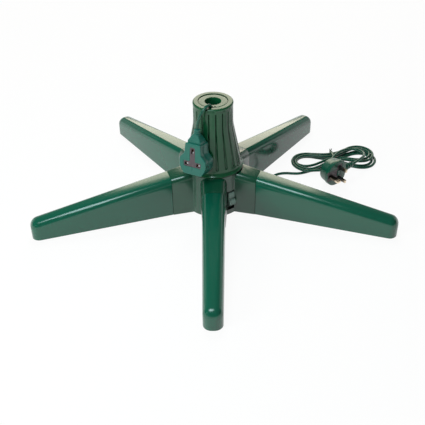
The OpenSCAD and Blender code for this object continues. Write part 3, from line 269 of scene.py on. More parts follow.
def alone(piece):
    """Makes a piece the only selected and active one."""
    bpy.ops.object.select_all(action="DESELECT")
    piece.select_set(True)
    bpy.context.view_layer.objects.active = piece


def settle(piece):
    """Applies a piece's place, turn and scale to its mesh."""
    alone(piece)
    bpy.ops.object.transform_apply(location=True, rotation=True, scale=True)


def block(name, low, high):
    """A box between two corners in millimetres."""
    low, high = Vector(low) * MM, Vector(high) * MM
    return add("cube", name, size=1, location=(low + high) / 2, scale=high - low)


def edit(piece):
    """Opens a piece in edit mode with all of it selected."""
    alone(piece)
    bpy.ops.object.mode_set(mode="EDIT")
    bpy.ops.mesh.select_mode(type="VERT")
    bpy.ops.mesh.select_all(action="SELECT")


def done():
    """Closes edit mode."""
    bpy.ops.object.mode_set(mode="OBJECT")


def pick(piece, kind, wanted):
    """Selects, in edit mode, the points, edges or faces that a test on their middle and normal accepts."""
    bpy.ops.mesh.select_mode(type={"verts": "VERT", "edges": "EDGE", "faces": "FACE"}[kind])
    bpy.ops.mesh.select_all(action="DESELECT")
    mesh = bmesh.from_edit_mesh(piece.data)
    for item in getattr(mesh, kind):
        if kind == "verts":
            hit = wanted(item.co / MM)
        elif kind == "edges":
            a, b = (v.co / MM for v in item.verts)
            hit = wanted(a, b)
        else:
            hit = wanted(item.calc_center_median() / MM, item.normal)
        if hit:
            item.select_set(True)
    mesh.select_flush_mode()
    bmesh.update_edit_mesh(piece.data)


def move(x=0, y=0, z=0):
    """Moves what is selected, in millimetres."""
    bpy.ops.transform.translate(value=(x * MM, y * MM, z * MM))


def stretch(x=1, y=1, z=1, about=(0, 0, 0)):
    """Scales what is selected about a point in millimetres."""
    bpy.ops.transform.resize(value=(x, y, z), center_override=[c * MM for c in about])


def draw_out(x=0, y=0, z=0):
    """Extrudes what is selected, and moves it in millimetres."""
    bpy.ops.mesh.extrude_region_move(TRANSFORM_OT_translate={"value": (x * MM, y * MM, z * MM)})


def bevel(width, segments, clamp=False):
    """Rounds the selected edges, by a width in metres."""
    bpy.ops.mesh.bevel(offset=width, segments=segments, affect="EDGES", clamp_overlap=clamp)


def apply_modifier(piece, kind, **settings):
    """Adds a modifier with its settings, and applies it."""
    alone(piece)
    made = piece.modifiers.new(kind.title(), kind)
    for key, value in settings.items():
        setattr(made, key, value)
    bpy.ops.object.modifier_apply(modifier=made.name)


def cut_away(piece, cutter):
    """Cuts one piece by another, and removes the cutter."""
    apply_modifier(piece, "BOOLEAN", operation="DIFFERENCE", object=cutter, solver="EXACT")
    bpy.data.objects.remove(cutter)


def join(piece, *others):
    """Joins pieces into the first one, which keeps its name."""
    alone(piece)
    for other in others:
        other.select_set(True)
    bpy.ops.object.join()
    return piece


def copy_of(piece, name):
    """A copy of a piece with a mesh of its own."""
    alone(piece)
    bpy.ops.object.duplicate(linked=False)
    made = bpy.context.object
    made.name = made.data.name = name
    return made


def put(piece, place):
    """Sets a piece made at the origin in its frame."""
    piece.matrix_world = place
    bpy.context.view_layer.update()
    settle(piece)
    return piece


def tidy_faces(piece):
    """Merges doubled points, and points all faces outwards."""
    edit(piece)
    bpy.ops.mesh.remove_doubles(threshold=0.02 * MM)
    bpy.ops.mesh.normals_make_consistent(inside=False)
    done()


def smooth(piece, angle=32):
    """Shades a piece smooth, apart from its edges sharper than an angle."""
    alone(piece)
    bpy.ops.object.shade_smooth_by_angle(angle=math.radians(angle))


def soften(piece, width, angle=40, segments=2):
    """Rounds the edges sharper than an angle, all alike."""
    apply_modifier(piece, "BEVEL", width=width, segments=segments, limit_method="ANGLE",
                   angle_limit=math.radians(angle), harden_normals=False, use_clamp_overlap=True)


def fit_out(piece, body, slot, *replaces, finish=None):
    """Gives a finished piece its body, its slot, its finish and the nodes that it stands for."""
    piece.data.materials.clear()
    piece.data.materials.append(finishes[finish or slot])
    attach(piece, body)
    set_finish(piece, slot)
    if replaces:
        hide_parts(*replaces)


def turned(name, rows, points=64, solid=False):
    """A turned form round Z: a circle drawn up through rows of height and radius, in millimetres.

    A tube's rows come back to their start."""
    height, radius = rows[0]
    piece = add("circle", name, vertices=points, radius=radius * MM, location=(0, 0, height * MM),
                fill_type="NGON" if solid else "NOTHING")
    edit(piece)
    for row_height, row_radius in rows[1:]:
        draw_out(z=row_height - height)
        grow = row_radius / radius
        stretch(grow, grow, 1, (0, 0, row_height))
        height, radius = row_height, row_radius
    done()
    tidy_faces(piece)
    return piece


def mirrored(half):
    """A full outline from the half on the right of its middle line."""
    return half + [(-y, z) for y, z in reversed(half)]


def plate(name, outline, depth, corner=0, segments=5):
    """A plate on the plane X = 0 that runs back along -X, with the corners of its outline rounded.

    It starts as a filled circle, whose points are drawn to the outline."""
    piece = add("circle", name, vertices=len(outline), radius=0.01, fill_type="NGON")
    for point, (y, z) in zip(piece.data.vertices, outline):
        point.co = Vector((0, y, z)) * MM
    edit(piece)
    draw_out(x=-depth)
    if corner:
        pick(piece, "edges", lambda a, b: abs(a.x - b.x) > 0.5 * depth)
        bevel(corner * MM, segments)
    done()
    tidy_faces(piece)
    return piece


def eased(outline):
    """An outline with its corners cut three times, which makes it a smooth curve."""
    for _ in range(3):
        outline = [
            (a[0] + (b[0] - a[0]) * part, a[1] + (b[1] - a[1]) * part)
            for a, b in zip(outline, outline[1:] + outline[:1]) for part in (0.25, 0.75)
        ]
    return outline


def round_edges(piece, wanted, width, segments, clamp=False):
    """Rounds the edges that a test on their two ends accepts."""
    edit(piece)
    pick(piece, "edges", wanted)
    bevel(width, segments, clamp)
    done()


def rim_round(piece, at, width, segments=3):
    """Rounds the edges that lie in the plane X = at."""
    round_edges(piece, lambda a, b: abs(a.x - at) < 0.02 and abs(b.x - at) < 0.02, width, segments, clamp=True)


# ---- Finishes ----

finishes = {}


def feed(tree, made, inputs):
    """Sets a node's inputs, each to a value or to the output that drives it."""
    for key, value in inputs.items():
        if isinstance(value, bpy.types.NodeSocket):
            tree.links.new(value, made.inputs[key])
        else:
            made.inputs[key].default_value = value


def node(tree, kind, inputs, **settings):
    """Adds a node with its settings and its inputs."""
    made = tree.nodes.new(f"ShaderNode{kind}")
    for key, value in settings.items():
        setattr(made, key, value)
    feed(tree, made, inputs)
    return made


def sheet_of_nodes(name):
    """A new material, its node tree and its shader."""
    material = bpy.data.materials.new(name)
    material.use_nodes = True
    return material, material.node_tree, material.node_tree.nodes["Principled BSDF"]


def ranged(tree, value, start, end, low=0, high=1):
    """Maps a value between start and end to the range from low to high."""
    scale = {"Value": value, "From Min": start, "From Max": end, "To Min": low, "To Max": high}
    return node(tree, "MapRange", scale).outputs["Result"]


def blended(tree, share, first, second):
    """Mixes two colours. Each is a colour or the output that gives it."""
    return node(tree, "Mix", {"Factor": share, "A": first, "B": second}, data_type="RGBA").outputs["Result"]


def shade(colour, factor):
    """A colour made darker or lighter, with its alpha."""
    return [min(1, c * factor) for c in colour[:3]] + [1]


def grain(tree, coords, scale, detail, stretch_by=(1, 1, 1)):
    """A noise over the piece, in cells per metre."""
    mapping = node(tree, "Mapping", {"Vector": coords.outputs["Object"], "Scale": stretch_by})
    noise = node(tree, "TexNoise", {"Vector": mapping.outputs["Vector"], "Scale": scale, "Detail": detail})
    return noise.outputs["Fac"]


def two_tone(tree, value, colour, change):
    """Varies a colour a little, darker and lighter, by a noise."""
    return blended(tree, value, shade(colour, 1 - change), shade(colour, 1 + change))


def uneven(tree, value, limits):
    """Spreads a noise over a range of roughness."""
    return ranged(tree, value, NOISE_LOW, NOISE_HIGH, *limits)


def bump(tree, shader, value, strength, depth):
    """Gives a shader a relief of a depth in metres."""
    relief = node(tree, "Bump", {"Height": value, "Strength": strength, "Distance": depth})
    feed(tree, shader, {"Normal": relief.outputs["Normal"]})


def moulded(name, colour, rough, change=0.06, skin=900, skin_depth=0.00002, gloss=0.5, coat=0,
            painted_hollow_shade=False):
    """Moulded plastic: a faint flow in the colour, an uneven polish and a fine skin.

    Its hollows can take painted shade: ambient occlusion darkens their colour and their gloss."""
    material, tree, shader = sheet_of_nodes(name)
    coords = node(tree, "TexCoord", {})
    paint = two_tone(tree, grain(tree, coords, 14, 3), colour, change)
    feed(tree, shader, {
        "Base Color": paint, "Roughness": uneven(tree, grain(tree, coords, 45, 4), rough),
        "Specular IOR Level": gloss, "Coat Weight": coat, "Coat Roughness": 0.12})
    if painted_hollow_shade:
        # Painted shade: where ambient occlusion finds a hollow, the colour darkens to 0.4 of itself and the gloss
        # falls
        unshaded_share = node(tree, "AmbientOcclusion", {"Distance": PAINTED_SHADE_REACH}, samples=8).outputs["AO"]
        feed(tree, shader, {
            "Base Color": blended(tree, ranged(tree, unshaded_share, *PAINTED_SHADE_OPEN), shade(colour, 0.4), paint),
            "Specular IOR Level": ranged(tree, unshaded_share, *PAINTED_SHADE_OPEN, 0.08, gloss)})
    bump(tree, shader, grain(tree, coords, skin, 2), 0.25, skin_depth)
    return material


def brush(tree, shader, paint, lines, rough):
    """Sets a metal's colour, and its roughness and bump by fine lines."""
    feed(tree, shader, {"Base Color": paint, "Roughness": uneven(tree, lines, rough), "Metallic": 1})
    bump(tree, shader, lines, 0.3, BRUSH_DEPTH)


def metal(name, colour, rough, brushed=(1, 1, 1)):
    """Metal: brushed or tumbled, with a slight tarnish."""
    material, tree, shader = sheet_of_nodes(name)
    coords = node(tree, "TexCoord", {})
    paint = two_tone(tree, grain(tree, coords, 60, 4), colour, 0.12)
    brush(tree, shader, paint, grain(tree, coords, 500, 3, brushed), rough)
    return material


def pin_metal(name, colour, rough):
    """Brass pins, dark along their length and bright at their tips, by how far they are from the plug's face."""
    material, tree, shader = sheet_of_nodes(name)
    coords = node(tree, "TexCoord", {})
    along = node(tree, "Mapping", {
        "Vector": coords.outputs["Object"], "Location": PLUG_FRAME.translation,
        "Rotation": PLUG_FRAME.to_euler()}, vector_type="TEXTURE")
    split = node(tree, "SeparateXYZ", {"Vector": along.outputs["Vector"]})
    bright = two_tone(tree, grain(tree, coords, 300, 3), shade(colour, 1.15), 0.08)
    # Dark along the pin, bright towards its tip
    paint = blended(tree, ranged(tree, split.outputs["X"], *PIN_DARK_TO_BRIGHT), shade(colour, 0.16), bright)
    brush(tree, shader, paint, grain(tree, coords, 600, 3, (1, 1, 8)), rough)
    return material


def mix_finishes(colours):
    """Mixes a finish for each slot, and for the pieces whose shade differs from their slot's."""
    finishes.update(
        housing_green=moulded("housing_green_gloss", colours.housing, (0.17, 0.24),
                              gloss=0.62, coat=0.25, **FINE_SKIN),
        hub_green=moulded("hub_green_satin", colours.hub, (0.19, 0.27), gloss=0.68, coat=0.2, **FINE_SKIN),
        # The column and its adapter get painted shade in their flutes and other hollows
        column_green=moulded("column_green_gloss", colours.column, (0.18, 0.26),
                             coat=0.05, painted_hollow_shade=True, **FINE_SKIN),
        cord_green=moulded("cord_green_sheath", colours.cord, (0.28, 0.40),
                           skin=1500, skin_depth=0.00003, coat=0.1),
        socket_green=moulded("socket_green_satin", colours.socket, (0.26, 0.36), skin=1800),
        insert_brown=moulded("insert_brown_matt", colours.insert, (0.45, 0.60), change=0.1, skin=2200),
        grey_green=moulded("rocker_grey_green", colours.rocker, (0.30, 0.42), skin=1800),
        # The surround's finish is dark plastic, darkened further and with low gloss as painted shade for the rocker's
        # recess
        switch_green=moulded("switch_dark_green", colours.switch, (0.35, 0.45), skin=1600, gloss=0.15),
        dark_plastic=moulded("dark_plastic_satin", colours.dark, (0.35, 0.50), change=0.2, skin=1600),
        nylon=moulded("nylon_milky", colours.nylon, (0.35, 0.50), change=0.04, skin=1200),
        pin_brass=pin_metal("brass_pins_worn", colours.pins, (0.24, 0.40)),
        brass=metal("brass_pressed", colours.brass, (0.22, 0.36), (1, 1, 12)),
        steel=metal("steel_ground", colours.steel, (0.20, 0.34), (1, 12, 1)),
        zinc=metal("zinc_plated", colours.zinc, (0.28, 0.44)),
    )


class STAND_OT_finishes(Step, bpy.types.Operator):
    """Mixes the finishes from the colours"""

    bl_idname = "stand.finishes"
    bl_label = "Finishes"

    def execute(self, context):
        mix_finishes(context.scene.stand_colours)
        return {"FINISHED"}


# ---- Cords ----

def polar(radius, turn):
    """X and Y at a radius and an azimuth."""
    return radius * math.cos(math.radians(turn)), radius * math.sin(math.radians(turn))


def hank_point(turns):
    """A point of the hank after so many loops: it spirals in, climbs a layer and spirals out again."""
    angle = math.radians(HANK_START + 360 * turns)
    depth = turns if turns <= HANK_LOOPS / 2 else HANK_LOOPS - turns
    c, e = math.cos(angle), math.sin(angle)
    lobe = HANK_B - depth * HANK_STEP_B
    waist = HANK_WAIST - depth * HANK_STEP_WAIST
    x = (HANK_A - depth * HANK_STEP_A) * c
    y = (lobe - (lobe - waist) * abs(e) ** HANK_PINCH) * e
    climb = max(0, min(1, (turns - HANK_LOOPS / 2) * 3 + 0.5))
    swing = HANK_SWING * math.sin(math.pi / 2 * max(-1, min(1, (turns - HANK_LOOPS / 2 - 0.1) / 0.12)))
    z = CORD_Z + HANK_LIFT * math.exp(-(x / HANK_LIFT_L) ** 2) + HANK_LAYER * climb
    qx, qy = polar(1, HANK_TURN + swing)
    return Vector((HANK_AT[0] + x * qx - y * qy, HANK_AT[1] + x * qy + y * qx, z))


def mains_points():
    """The mains cord from the gland through its hank to the plug, in millimetres."""
    outward = Vector((*polar(1, GLAND_TURN), 0))
    gland = outward * GLAND_END + Vector((0, 0, GLAND_HEIGHT))
    hank = [hank_point(i / HANK_RINGS) for i in range(HANK_LOOPS * HANK_RINGS + 1)]
    way_in = (hank[1] - hank[0]).normalized()
    way_out = (hank[-1] - hank[-2]).normalized()
    entry, leave = hank[0] - 5 * way_in, hank[-1] + 5 * way_out
    plug_end = PLUG_FRAME @ (Vector((-6, 0, -52.6)) * MM) / MM
    plug_way = (PLUG_FRAME.to_3x3() @ Vector((0, 0, -1))).normalized()
    return (
        [gland, gland + LEAD * outward]
        + [Vector(p) for p in MAINS_ROUTE]
        + [entry - LEAD * way_in, entry] + hank + [leave, leave + LEAD * way_out]
        + [Vector(p) for p in PLUG_CORD_ROUTE]
        + [plug_end + LEAD * plug_way, plug_end]
    )


def flex_points():
    """The trailing socket's cord, from the column's ledge over the rim and down, in millimetres."""
    ends = [SOCKET_FRAME @ (Vector((-SOCKET_T / 2, 0, BOOT_TOP + before)) * MM) / MM for before in (LEAD, 0)]
    return [Vector(p) for p in FLEX_ROUTE] + ends


def sheath(name, points, radius):
    """A round cord along a smooth curve through points in millimetres."""
    bpy.ops.object.select_all(action="DESELECT")
    bpy.ops.curve.primitive_bezier_curve_add()
    cord = bpy.context.object
    cord.name = cord.data.name = name
    curve = cord.data
    curve.splines.clear()
    spline = curve.splines.new("BEZIER")
    spline.bezier_points.add(len(points) - 1)
    for knot, point in zip(spline.bezier_points, points):
        knot.co = Vector(point) * MM
        knot.handle_left_type = knot.handle_right_type = "AUTO"
    curve.dimensions = "3D"
    curve.resolution_u = curve.render_resolution_u = 5
    curve.bevel_depth = radius
    curve.bevel_resolution = 4
    curve.use_fill_caps = True
    settle(cord)
    return cord


class STAND_OT_cords(Step, bpy.types.Operator):
    """Lays the mains cord with its hank, and the trailing socket's cord"""

    bl_idname = "stand.cords"
    bl_label = "Cords"

    def execute(self, context):
        sizes = context.scene.stand_sizes
        points = mains_points()
        mains = sheath("mains_lead", points, sizes.cord_radius)
        fit_out(mains, "base", "cord_green", "mains_cord", "mains_hank", "plug_cord")
        points = flex_points()
        flex = sheath("socket_lead", points, sizes.flex_radius)
        fit_out(flex, "column", "cord_green", "socket_flex")
        riser = turned("riser_lead", [(73, 0.4), (72.4, 1.9), (72.9, 2.4), (73.4, 2.45), (110, 2.45), (150, 2.45),
                                      (LEDGE_AT - 0.5, 2.45), (LEDGE_AT, 2.2)], 16, solid=True)
        put(riser, offset(*polar(20.6, -100)))
        smooth(riser)
        fit_out(riser, "column", "cord_green", "riser_flex")
        return {"FINISHED"}


class STAND_OT_tie(Step, bpy.types.Operator):
    """Bends the twist tie round the hank's waist"""

    bl_idname = "stand.tie"
    bl_label = "Twist tie"

    def execute(self, context):
        half, low, high, thick = 19, 1.3, 13.5, 0.9
        band = block("tie_band", (-2, -half - thick, low - thick), (2, half + thick, high + thick))
        edit(band)
        pick(band, "edges", lambda a, b: abs(a.x - b.x) > 3)
        bevel(3 * MM, 5)
        pick(band, "faces", lambda c, n: abs(n.x) > 0.9)
        bpy.ops.mesh.delete(type="FACE")
        done()
        apply_modifier(band, "SOLIDIFY", thickness=thick * MM, offset=-1)
        soften(band, 0.0002)
        knot = block("tie_knot", (-1.6, half + thick - 0.4, high - 3.4), (1.6, half + thick + 2.2, high + 0.6))
        soften(knot, 0.0006, segments=3)
        tails = []
        for side in (-1, 1):
            tail = block("tie_tail", (-0.9, -0.35, 0), (0.9, 0.35, 5))
            edit(tail)
            bpy.ops.mesh.subdivide(number_cuts=7)
            done()
            apply_modifier(tail, "SIMPLE_DEFORM", deform_method="TWIST", deform_axis="Z",
                           angle=math.radians(160 * side))
            put(tail, offset(0.5 * side, half + thick + 0.9, high - 1) @ rotation(14 * side, "Y") @ rotation(8, "X"))
            tails.append(tail)
        join(band, knot, *tails)
        put(band, offset(*HANK_AT) @ rotation(HANK_TURN))
        smooth(band)
        fit_out(band, "base", "cord_green", "cord_tie")
        return {"FINISHED"}


class STAND_OT_gland(Step, bpy.types.Operator):
    """Turns the strain relief where the mains cord leaves the hub"""

    bl_idname = "stand.gland"
    bl_label = "Cord gland"

    def execute(self, context):
        rows = [(-1.8, 2.6), (-1.8, 4.3), (-1.5, 4.6), (-0.7, 4.6), (-0.4, 4.3), (-0.4, 3.6), (3, 3.6), (3, 4.3),
                (3.3, 4.6), (4.1, 4.6), (4.4, 4.3), (4.4, 4.1)]
        for i in range(5):
            start, wide = 5.6 + 3.3 * i, 4.05 - 0.17 * i
            rows += [(start, wide - 0.7), (start + 0.4, wide - 0.8), (start + 1.1, wide - 0.8),
                     (start + 1.5, wide - 0.1), (start + 2.6, wide - 0.14)]
        rows += [(23.4, 2.95), (24.2, 2.85), (24.2, 2.55), (-1.8, 2.6)]
        relief = turned("hub_grommet", rows, 40)
        put(relief, offset(*polar(46.2, GLAND_TURN), GLAND_HEIGHT) @ rotation(GLAND_TURN) @ rotation(90, "Y"))
        smooth(relief, 40)
        fit_out(relief, "base", "cord_green", "cord_gland")
        return {"FINISHED"}


# ---- Legs ----

def leg_at(x):
    """A leg's width and height at a distance from the axis."""
    share = (x - SEAM_AT) / (LEG_REACH - SEAM_AT)
    return [root + (tip - root) * share for root, tip in zip(LEG_ROOT, LEG_TIP)]


def to_leg(i):
    """Turns a piece made along +X to a leg's azimuth."""
    return rotation(LEG_FRONT + i * LEG_STEP)


def leg_form(sizes):
    """One leg along +X: a tapered shell with rounded top edges and tip, open below."""
    near = SEAM_AT + 0.15
    leg = block("leg_form", (near, -LEG_TIP[0] / 2, 0), (LEG_REACH, LEG_TIP[0] / 2, LEG_TIP[1]))
    edit(leg)
    pick(leg, "verts", lambda p: p.x < LEG_MIDWAY and p.z < 1)
    move(z=HUB_LIFT)
    pick(leg, "verts", lambda p: p.x < LEG_MIDWAY and p.z > 20)
    move(z=LEG_ROOT[1] - LEG_TIP[1])
    pick(leg, "verts", lambda p: p.x < LEG_MIDWAY)
    stretch(y=LEG_ROOT[0] / LEG_TIP[0])
    pick(leg, "edges", lambda a, b: (
        (a.z > 30 and b.z > 30 and max(a.x, b.x) > LEG_MIDWAY)
        or (min(a.x, b.x) > 300 and abs(a.z - b.z) > 20)))
    bevel(sizes.leg_edge, 9)
    for side in (-1, 1):
        pick(leg, "verts", lambda p, side=side: p.y * side > 1 and p.x < LEG_MIDWAY)
        stretch(1, EDGE_SHARE, 1, (0, side * LEG_ROOT[0] / 2, 0))
    pick(leg, "edges", lambda a, b: (
        (abs(a.x - near) < 0.1 and abs(b.x - near) < 0.1 and max(a.z, b.z) > HUB_LIFT + 0.1)))
    bevel(sizes.seam_round, 3)
    pick(leg, "faces", lambda c, n: n.z < -0.9 and c.z < 10)
    bpy.ops.mesh.delete(type="FACE")
    done()
    apply_modifier(leg, "SOLIDIFY", thickness=sizes.leg_wall, offset=-1, use_even_offset=True)
    return leg


def leg_ribs(sizes):
    """The ribs under a leg: one along it and the rest across, their tops inside the leg's roof."""
    ribs = []
    step = sizes.rib_step / MM
    x = SEAM_AT + step
    while x < LEG_REACH - step / 2:
        width, height = leg_at(x)
        w, h = width / 2 - LEG_SKIN, height - LEG_SKIN
        rib = block("leg_rib", (x, -w, HUB_LIFT + 1), (x + 2.1, w, h))
        round_edges(rib, lambda a, b: a.z > 20 and b.z > 20 and abs(a.x - b.x) > 1, 10.5 * MM, 6)
        ribs.append(rib)
        x += step
    spine = block("leg_rib", (SEAM_AT + 1.5, -1.05, HUB_LIFT + 3), (LEG_REACH - 1.6, 1.05, LEG_TIP[1] - LEG_SKIN))
    edit(spine)
    pick(spine, "verts", lambda p: p.x < LEG_MIDWAY and p.z > 20)
    move(z=LEG_ROOT[1] - LEG_TIP[1])
    pick(spine, "edges", lambda a, b: a.x > 300 and b.x > 300 and a.z > 20 and b.z > 20)
    bevel(11 * MM, 6)
    done()
    return ribs + [spine]


def leg_tongue():
    """The hollow tongue that plugs into the hub."""
    top = LEG_ROOT[1] - 15.5
    tongue = block("leg_tongue", (SEAM_AT - 22, -13, HUB_LIFT + 6), (SEAM_AT + 3, 13, top))
    edit(tongue)
    pick(tongue, "faces", lambda c, n: n.x < -0.9)
    bpy.ops.mesh.inset(thickness=3 * MM)
    draw_out(x=22)
    done()
    soften(tongue, 0.0005)
    return tongue


class STAND_OT_legs(Step, bpy.types.Operator):
    """Moulds one leg, and copies it to its five places"""

    bl_idname = "stand.legs"
    bl_label = "Legs"

    def execute(self, context):
        sizes = context.scene.stand_sizes
        form = leg_form(sizes)
        join(form, leg_tongue(), *leg_ribs(sizes))
        smooth(form, 30)
        for i, side in enumerate(LEG_SIDES):
            leg = put(copy_of(form, f"{side}_leg_moulding"), to_leg(i))
            fit_out(leg, f"{side}_leg", "housing_green", f"leg_{side}")
        bpy.data.objects.remove(form)
        return {"FINISHED"}


# ---- Hub ----

def stub_corner(round_by):
    """The bar that rounds one top edge of a stub, when it is cut away. It stops at the drum."""
    half, top = STUB_END
    outline = [(half + 8, top - round_by - 8), (half + 8, top + 6), (half - EDGE_SHARE * round_by, top + 6)]
    outline += [(half - EDGE_SHARE * (round_by - a), top - round_by + b)
                for a, b in (polar(round_by, 90 - 9 * i) for i in range(11))]
    bar = plate("stub_corner", outline, 1)
    edit(bar)
    pick(bar, "faces", lambda c, n: n.x < -0.9)
    back = 42
    move(x=1 - back, y=back * STUB_SPREAD, z=back * STUB_RISE)
    done()
    put(bar, offset(STUB_AT + 0.6))
    cut_away(bar, add("cylinder", "drum_keeper", vertices=180, radius=(DRUM_R + 0.06) * MM, depth=0.3))
    return bar


class STAND_OT_hub(Step, bpy.types.Operator):
    """Cleans up the hub's housing, and rounds the ends of its stubs"""

    bl_idname = "stand.hub"
    bl_label = "Hub"

    def execute(self, context):
        sizes = context.scene.stand_sizes
        hub = copy_of(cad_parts["hub_housing"], "hub_moulding")
        for key in [k for k in hub.keys() if k.startswith("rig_")]:
            del hub[key]
        hub.parent = None
        edit(hub)
        bpy.ops.mesh.customdata_custom_splitnormals_clear()
        bpy.ops.mesh.remove_doubles(threshold=0.004 * MM)
        bpy.ops.mesh.dissolve_limited(angle_limit=math.radians(0.6))
        done()
        corner = stub_corner(sizes.leg_edge / MM)
        other = copy_of(corner, "stub_corner")
        other.scale.y = -1
        settle(other)
        tidy_faces(other)
        pair = join(corner, other)
        for i in range(5):
            cut_away(hub, put(copy_of(pair, "stub_corner"), to_leg(i)))
        bpy.data.objects.remove(pair)
        ways = [to_leg(i) @ Vector((1, 0, 0)) for i in range(5)]

        def on_end(a, b):
            for way in ways:
                if abs(a.dot(way) - STUB_FACE) < 0.06 and abs(b.dot(way) - STUB_FACE) < 0.06:
                    side = way.cross(Vector((0, 0, 1)))
                    outer = max(abs(a.dot(side)), abs(b.dot(side))) > 19 or min(a.z, b.z) > 60
                    return outer and max(a.z, b.z) > HUB_LIFT + 0.1
            return False

        round_edges(hub, on_end, sizes.seam_round, 3, clamp=True)
        smooth(hub, 34)
        fit_out(hub, "base", "housing_green", "hub_housing", finish="hub_green")
        return {"FINISHED"}


# ---- Column ----

def column_rows():
    """Heights and radii of the column, from its seat over the rim, down the outside and up inside."""
    neck, waist = 33, 161
    tilt = (46.5 - neck) / (waist - 92)
    outside = [
        (LEDGE_AT, 18.1), (LEDGE_AT, 18.7), (LEDGE_AT, 24.4), (LEDGE_AT, 25), (195.4, 25), (196.4, 25), (199.5, 24.6),
        (199.75, 24.65), (200, 25), (200, 25.4), (200, 30.6), (199.98, 31.2), (199.6, 32.4), (198.8, 33.2),
        (197.6, 33.5), (196.4, 33.5), (195.6, 33.2), (195, neck), (194.2, neck), (191.5, neck), (189.5, neck),
        (180, neck), (170, neck), (165, 33.02), (waist, 33.4), (157, neck + 4 * tilt + 0.02)]
    outside += [(z, neck + (waist - z) * tilt) for z in (148, 138, 128, 118, 108, 100, 94.8, 92.8)]
    outside += [(91.8, 46.55), (90.4, 46.66), (89, 46.95), (87.4, 47.5), (85.8, 48.5), (84.6, 49.6), (83.5, 51),
                (82.5, 51), (82, 50.5)]
    inside = [(82, 48.3), (83, 47.9), (92, 43.5), (161, 30), (190.8, 30), (191.3, 29.5), (191.3, 18.6),
              (191.3, 18.1), (192, 18.1), (194.2, 18.1), (LEDGE_AT, 18.1)]
    return outside + inside


class STAND_OT_column(Step, bpy.types.Operator):
    """Draws the column up from one circle, and sinks its flutes"""

    bl_idname = "stand.column"
    bl_label = "Column"

    def execute(self, context):
        sizes = context.scene.stand_sizes
        pitch = 360 / sizes.flutes
        step = pitch / FLUTE_STRIPS
        column = turned("column_moulding", column_rows(), FLUTE_STRIPS * sizes.flutes)
        # A circle's first point lies on +Y. It is brought to a flute's middle.
        put(column, rotation(FLUTE_AT - 90))
        half = sizes.flute_width / MM / 2
        edit(column)

        def from_flute(p):
            return math.degrees(math.atan2(p.y, p.x)) - FLUTE_AT

        def strip_number(p):
            return round(from_flute(p) / step) % FLUTE_STRIPS

        for z, radius in column_rows():
            if radius < 32.5 or not 92.5 < z < 191.6:
                continue
            widen = math.asin(half / radius) - math.radians(step)
            for side, way in ((1, 1), (FLUTE_STRIPS - 1, -1)):
                pick(column, "verts", lambda p, z=z, side=side: (
                    abs(p.z - z) < 0.05 and math.hypot(p.x, p.y) > 32.5 and strip_number(p) == side))
                bpy.ops.transform.rotate(value=way * widen, orient_axis="Z", center_override=(0, 0, 0))

        def in_flute(c, n):
            across = from_flute(c) / pitch % 1
            return (92.9 < c.z < 191.4 and math.hypot(c.x, c.y) > 32 and n.x * c.x + n.y * c.y > 0
                    and (across < 0.17 or across > 0.83))

        pick(column, "faces", in_flute)
        for thickness, share in ((0.15, 0), (0.35, -0.55), (0.9, -0.32), (0.8, -0.13)):
            bpy.ops.mesh.inset(thickness=thickness * MM, depth=share * sizes.flute_depth)
        done()
        apply_modifier(column, "SUBSURF", levels=1, render_levels=1)
        smooth(column, 45)
        fit_out(column, "column", "housing_green", "column_shell", finish="column_green")
        return {"FINISHED"}


class STAND_OT_adapter(Step, bpy.types.Operator):
    """Turns the ring that takes the tree's pole, and cuts its notch and slot"""

    bl_idname = "stand.adapter"
    bl_label = "Pole adapter"

    def execute(self, context):
        ring = turned("adapter_ring", [
            (121.6, 13), (198, 13), (198.7, 13.2), (199.1, 13.8), (199.1, 20.2), (199.1, 23.6), (198.9, 24.05),
            (198.5, 24.2), (196.2, 24.6), (194.8, 24.7), (194.8, 15.6), (121.6, 15.6), (120.8, 14.9), (120.8, 13.6),
            (121.6, 13)], 128)
        notch = block("notch_cutter", (17.85, -4.5, 193), (27, 4.5, 201))
        round_edges(notch, lambda a, b: abs(a.z - b.z) > 3 and a.x < 20, 3 * MM, 5)
        cut_away(ring, put(notch, rotation(-100)))
        slot = block("slot_cutter", (18.1, -1.2, 193), (23.1, 1.2, 201))
        round_edges(slot, lambda a, b: abs(a.z - b.z) > 3, 0.8 * MM, 4)
        cut_away(ring, put(slot, rotation(-80)))
        smooth(ring, 30)
        fit_out(ring, "adapter", "housing_green", "pole_adapter", finish="column_green")
        return {"FINISHED"}


# ---- Switch ----

